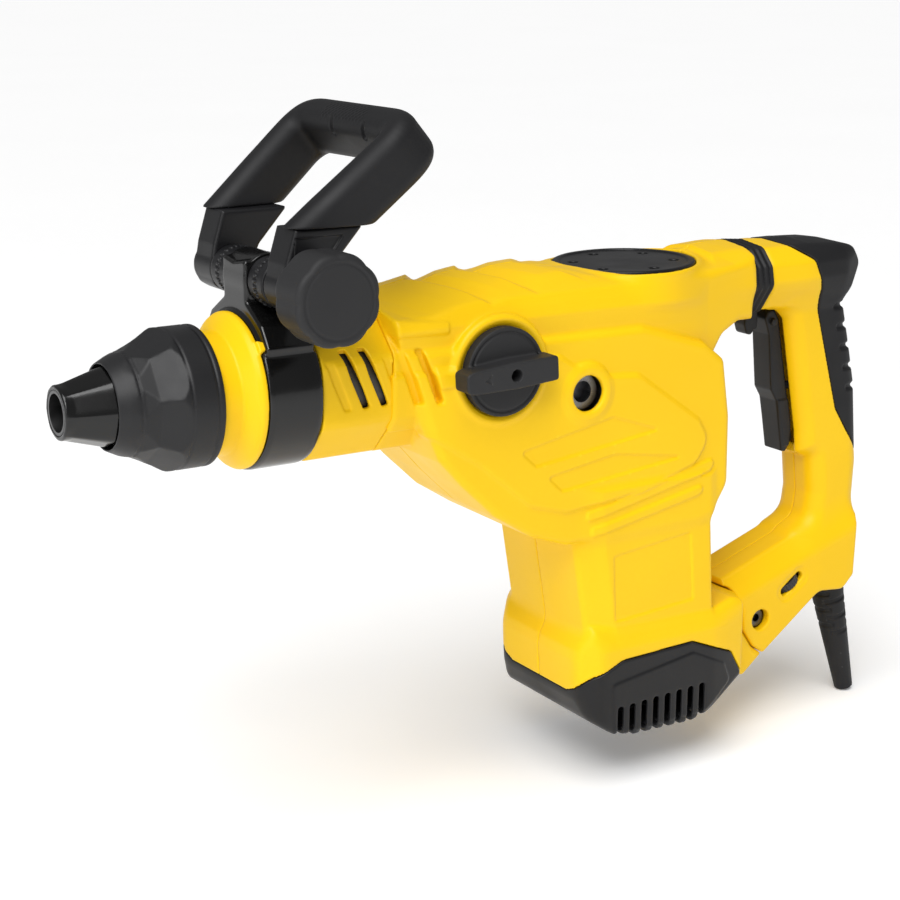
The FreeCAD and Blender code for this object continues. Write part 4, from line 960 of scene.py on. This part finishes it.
rubber = whole.copy()
rubber.keep(lambda x, y, z: poly(GRIP_EDGE, x, z) + 0.25, r=0.8)
for i in range(5):
    z0, x0 = 7.0 - i * 12.2, 459.0 + i * 3.2
    groove = fillet([(x0, z0 + 1.5, 1.2), (x0 + 40, z0 + 2.2), (x0 + 40, z0 - 2.2),
                     (x0, z0 - 1.5, 1.2)], 0.5)
    rubber.emboss(lambda x, y, z: poly(groove, x, z), -1.5, 0.9)
rubber.shell(RUBBER_T, whole)
make("grip_cover", rubber, "handle", RUBBER, ["handle_grip"])

bellows = Field((391, -29, 7), (403, 29, 48), 0.5).add(bellows_shape)
folds = make("bellows", bellows, "housing", RUBBER, ["damper_band"])
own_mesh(folds)

trigger = Field((415, -11, -79), (442, 11, 9), 0.45)
trigger.add(lambda x, y, z: both(poly(TRIGGER_XZ, x, z), np.abs(y) - 7.8, 1.2))
trigger.add(lambda x, y, z: both(radius(x - 421.5, z - 0.5) - 2.0, np.abs(y) - 10.2, 0.3))
trigger.emboss(lambda x, y, z: np.maximum(poly(TRIGGER_SIDE, x, z), 5.5 - np.abs(y)), 0.6, 0.6)
make("trigger_paddle", trigger, "trigger", BLACK, ["trigger"])

lever = Field((403, -9, -7), (414, 9, 13), 0.35)
lever.add(lambda x, y, z: both(poly(LEVER_XZ, x, z), np.abs(y) - 5.0, 1.0))
lever.add(lambda x, y, z: both(radius(x - 408.5, z - 10.6) - 1.5, np.abs(y) - 7.9, 0.3))
make("lock_hook", lever, "lever", BLACK, ["lock_lever"])

guard = Field((472, -12, -242), (508, 12, -145), 0.5).add(guard_shape)
make("cord_sleeve", guard, "handle", RUBBER, ["cord_guard"])


# ---- stage, light and camera --------------------------------------------------------------------
FLOOR_HALF = 30.0
FLOOR_GAP = 0.0005
AIM = Vector((0.25, 0.0, -0.05))
CAMERA_AT = (-0.2945, -0.8098, 0.2054)
CAMERA_DOWN, CAMERA_TURN = 14.8, -32.0


def place(name, data, location, direction=None):
    """Puts a light, camera or mesh in the scene, looking along direction."""
    made = bpy.data.objects.new(name, data)
    made.location = location
    if direction is not None:
        made.rotation_euler = direction.to_track_quat("-Z", "Y").to_euler()
    bpy.context.scene.collection.objects.link(made)
    return made


floor_mesh = bpy.data.meshes.new("floor")
corners = [(a * FLOOR_HALF, b * FLOOR_HALF, 0) for a, b in ((-1, -1), (1, -1), (1, 1), (-1, 1))]
floor_mesh.from_pydata(corners, [], [(0, 1, 2, 3)])
floor = place("floor", floor_mesh, (0, 0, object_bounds()[0][2] - FLOOR_GAP))
paper = Paint("paper_floor", (0.96, 0.96, 0.96), 0.8)
paper.grain(paper.noise(300.0, 3.0), 0.00005, 0.2)
paper.bsdf.inputs["Emission Color"].default_value = (1, 1, 1, 1)
paper.bsdf.inputs["Emission Strength"].default_value = 0.14
floor_mesh.materials.append(paper.finish((0.945, 0.945, 0.945), (0.96, 0.96, 0.96),
                                         patch_scale=2.0))

world = bpy.data.worlds.new("studio")
world.use_nodes = True
world.node_tree.nodes["Background"].inputs["Color"].default_value = (1, 1, 1, 1)
world.node_tree.nodes["Background"].inputs["Strength"].default_value = 0.27
bpy.context.scene.world = world
for name, spot, power, width in (
    ("key", (-0.7, -1.2, 1.2), 9, 0.7),
    ("front", (-1.3, -0.5, 0.35), 4, 0.6),
):
    lamp = bpy.data.lights.new(name, "AREA")
    lamp.energy, lamp.size = power, width
    place(name, lamp, spot, AIM - Vector(spot))
sky = bpy.data.lights.new("sky", "SUN")
sky.energy, sky.angle = 2.35, math.radians(45)
place("sky", sky, (0, 0, 0), Vector((0.38, 0.34, -0.86)))

lens = bpy.data.cameras.new("camera")
lens.lens, lens.sensor_width = 76.2, 36.0
camera = place("camera", lens, CAMERA_AT)
camera.rotation_euler = Euler((math.radians(90 - CAMERA_DOWN), 0.0, math.radians(CAMERA_TURN)))
bpy.context.scene.camera = camera
bpy.context.scene.view_settings.view_transform = "Standard"
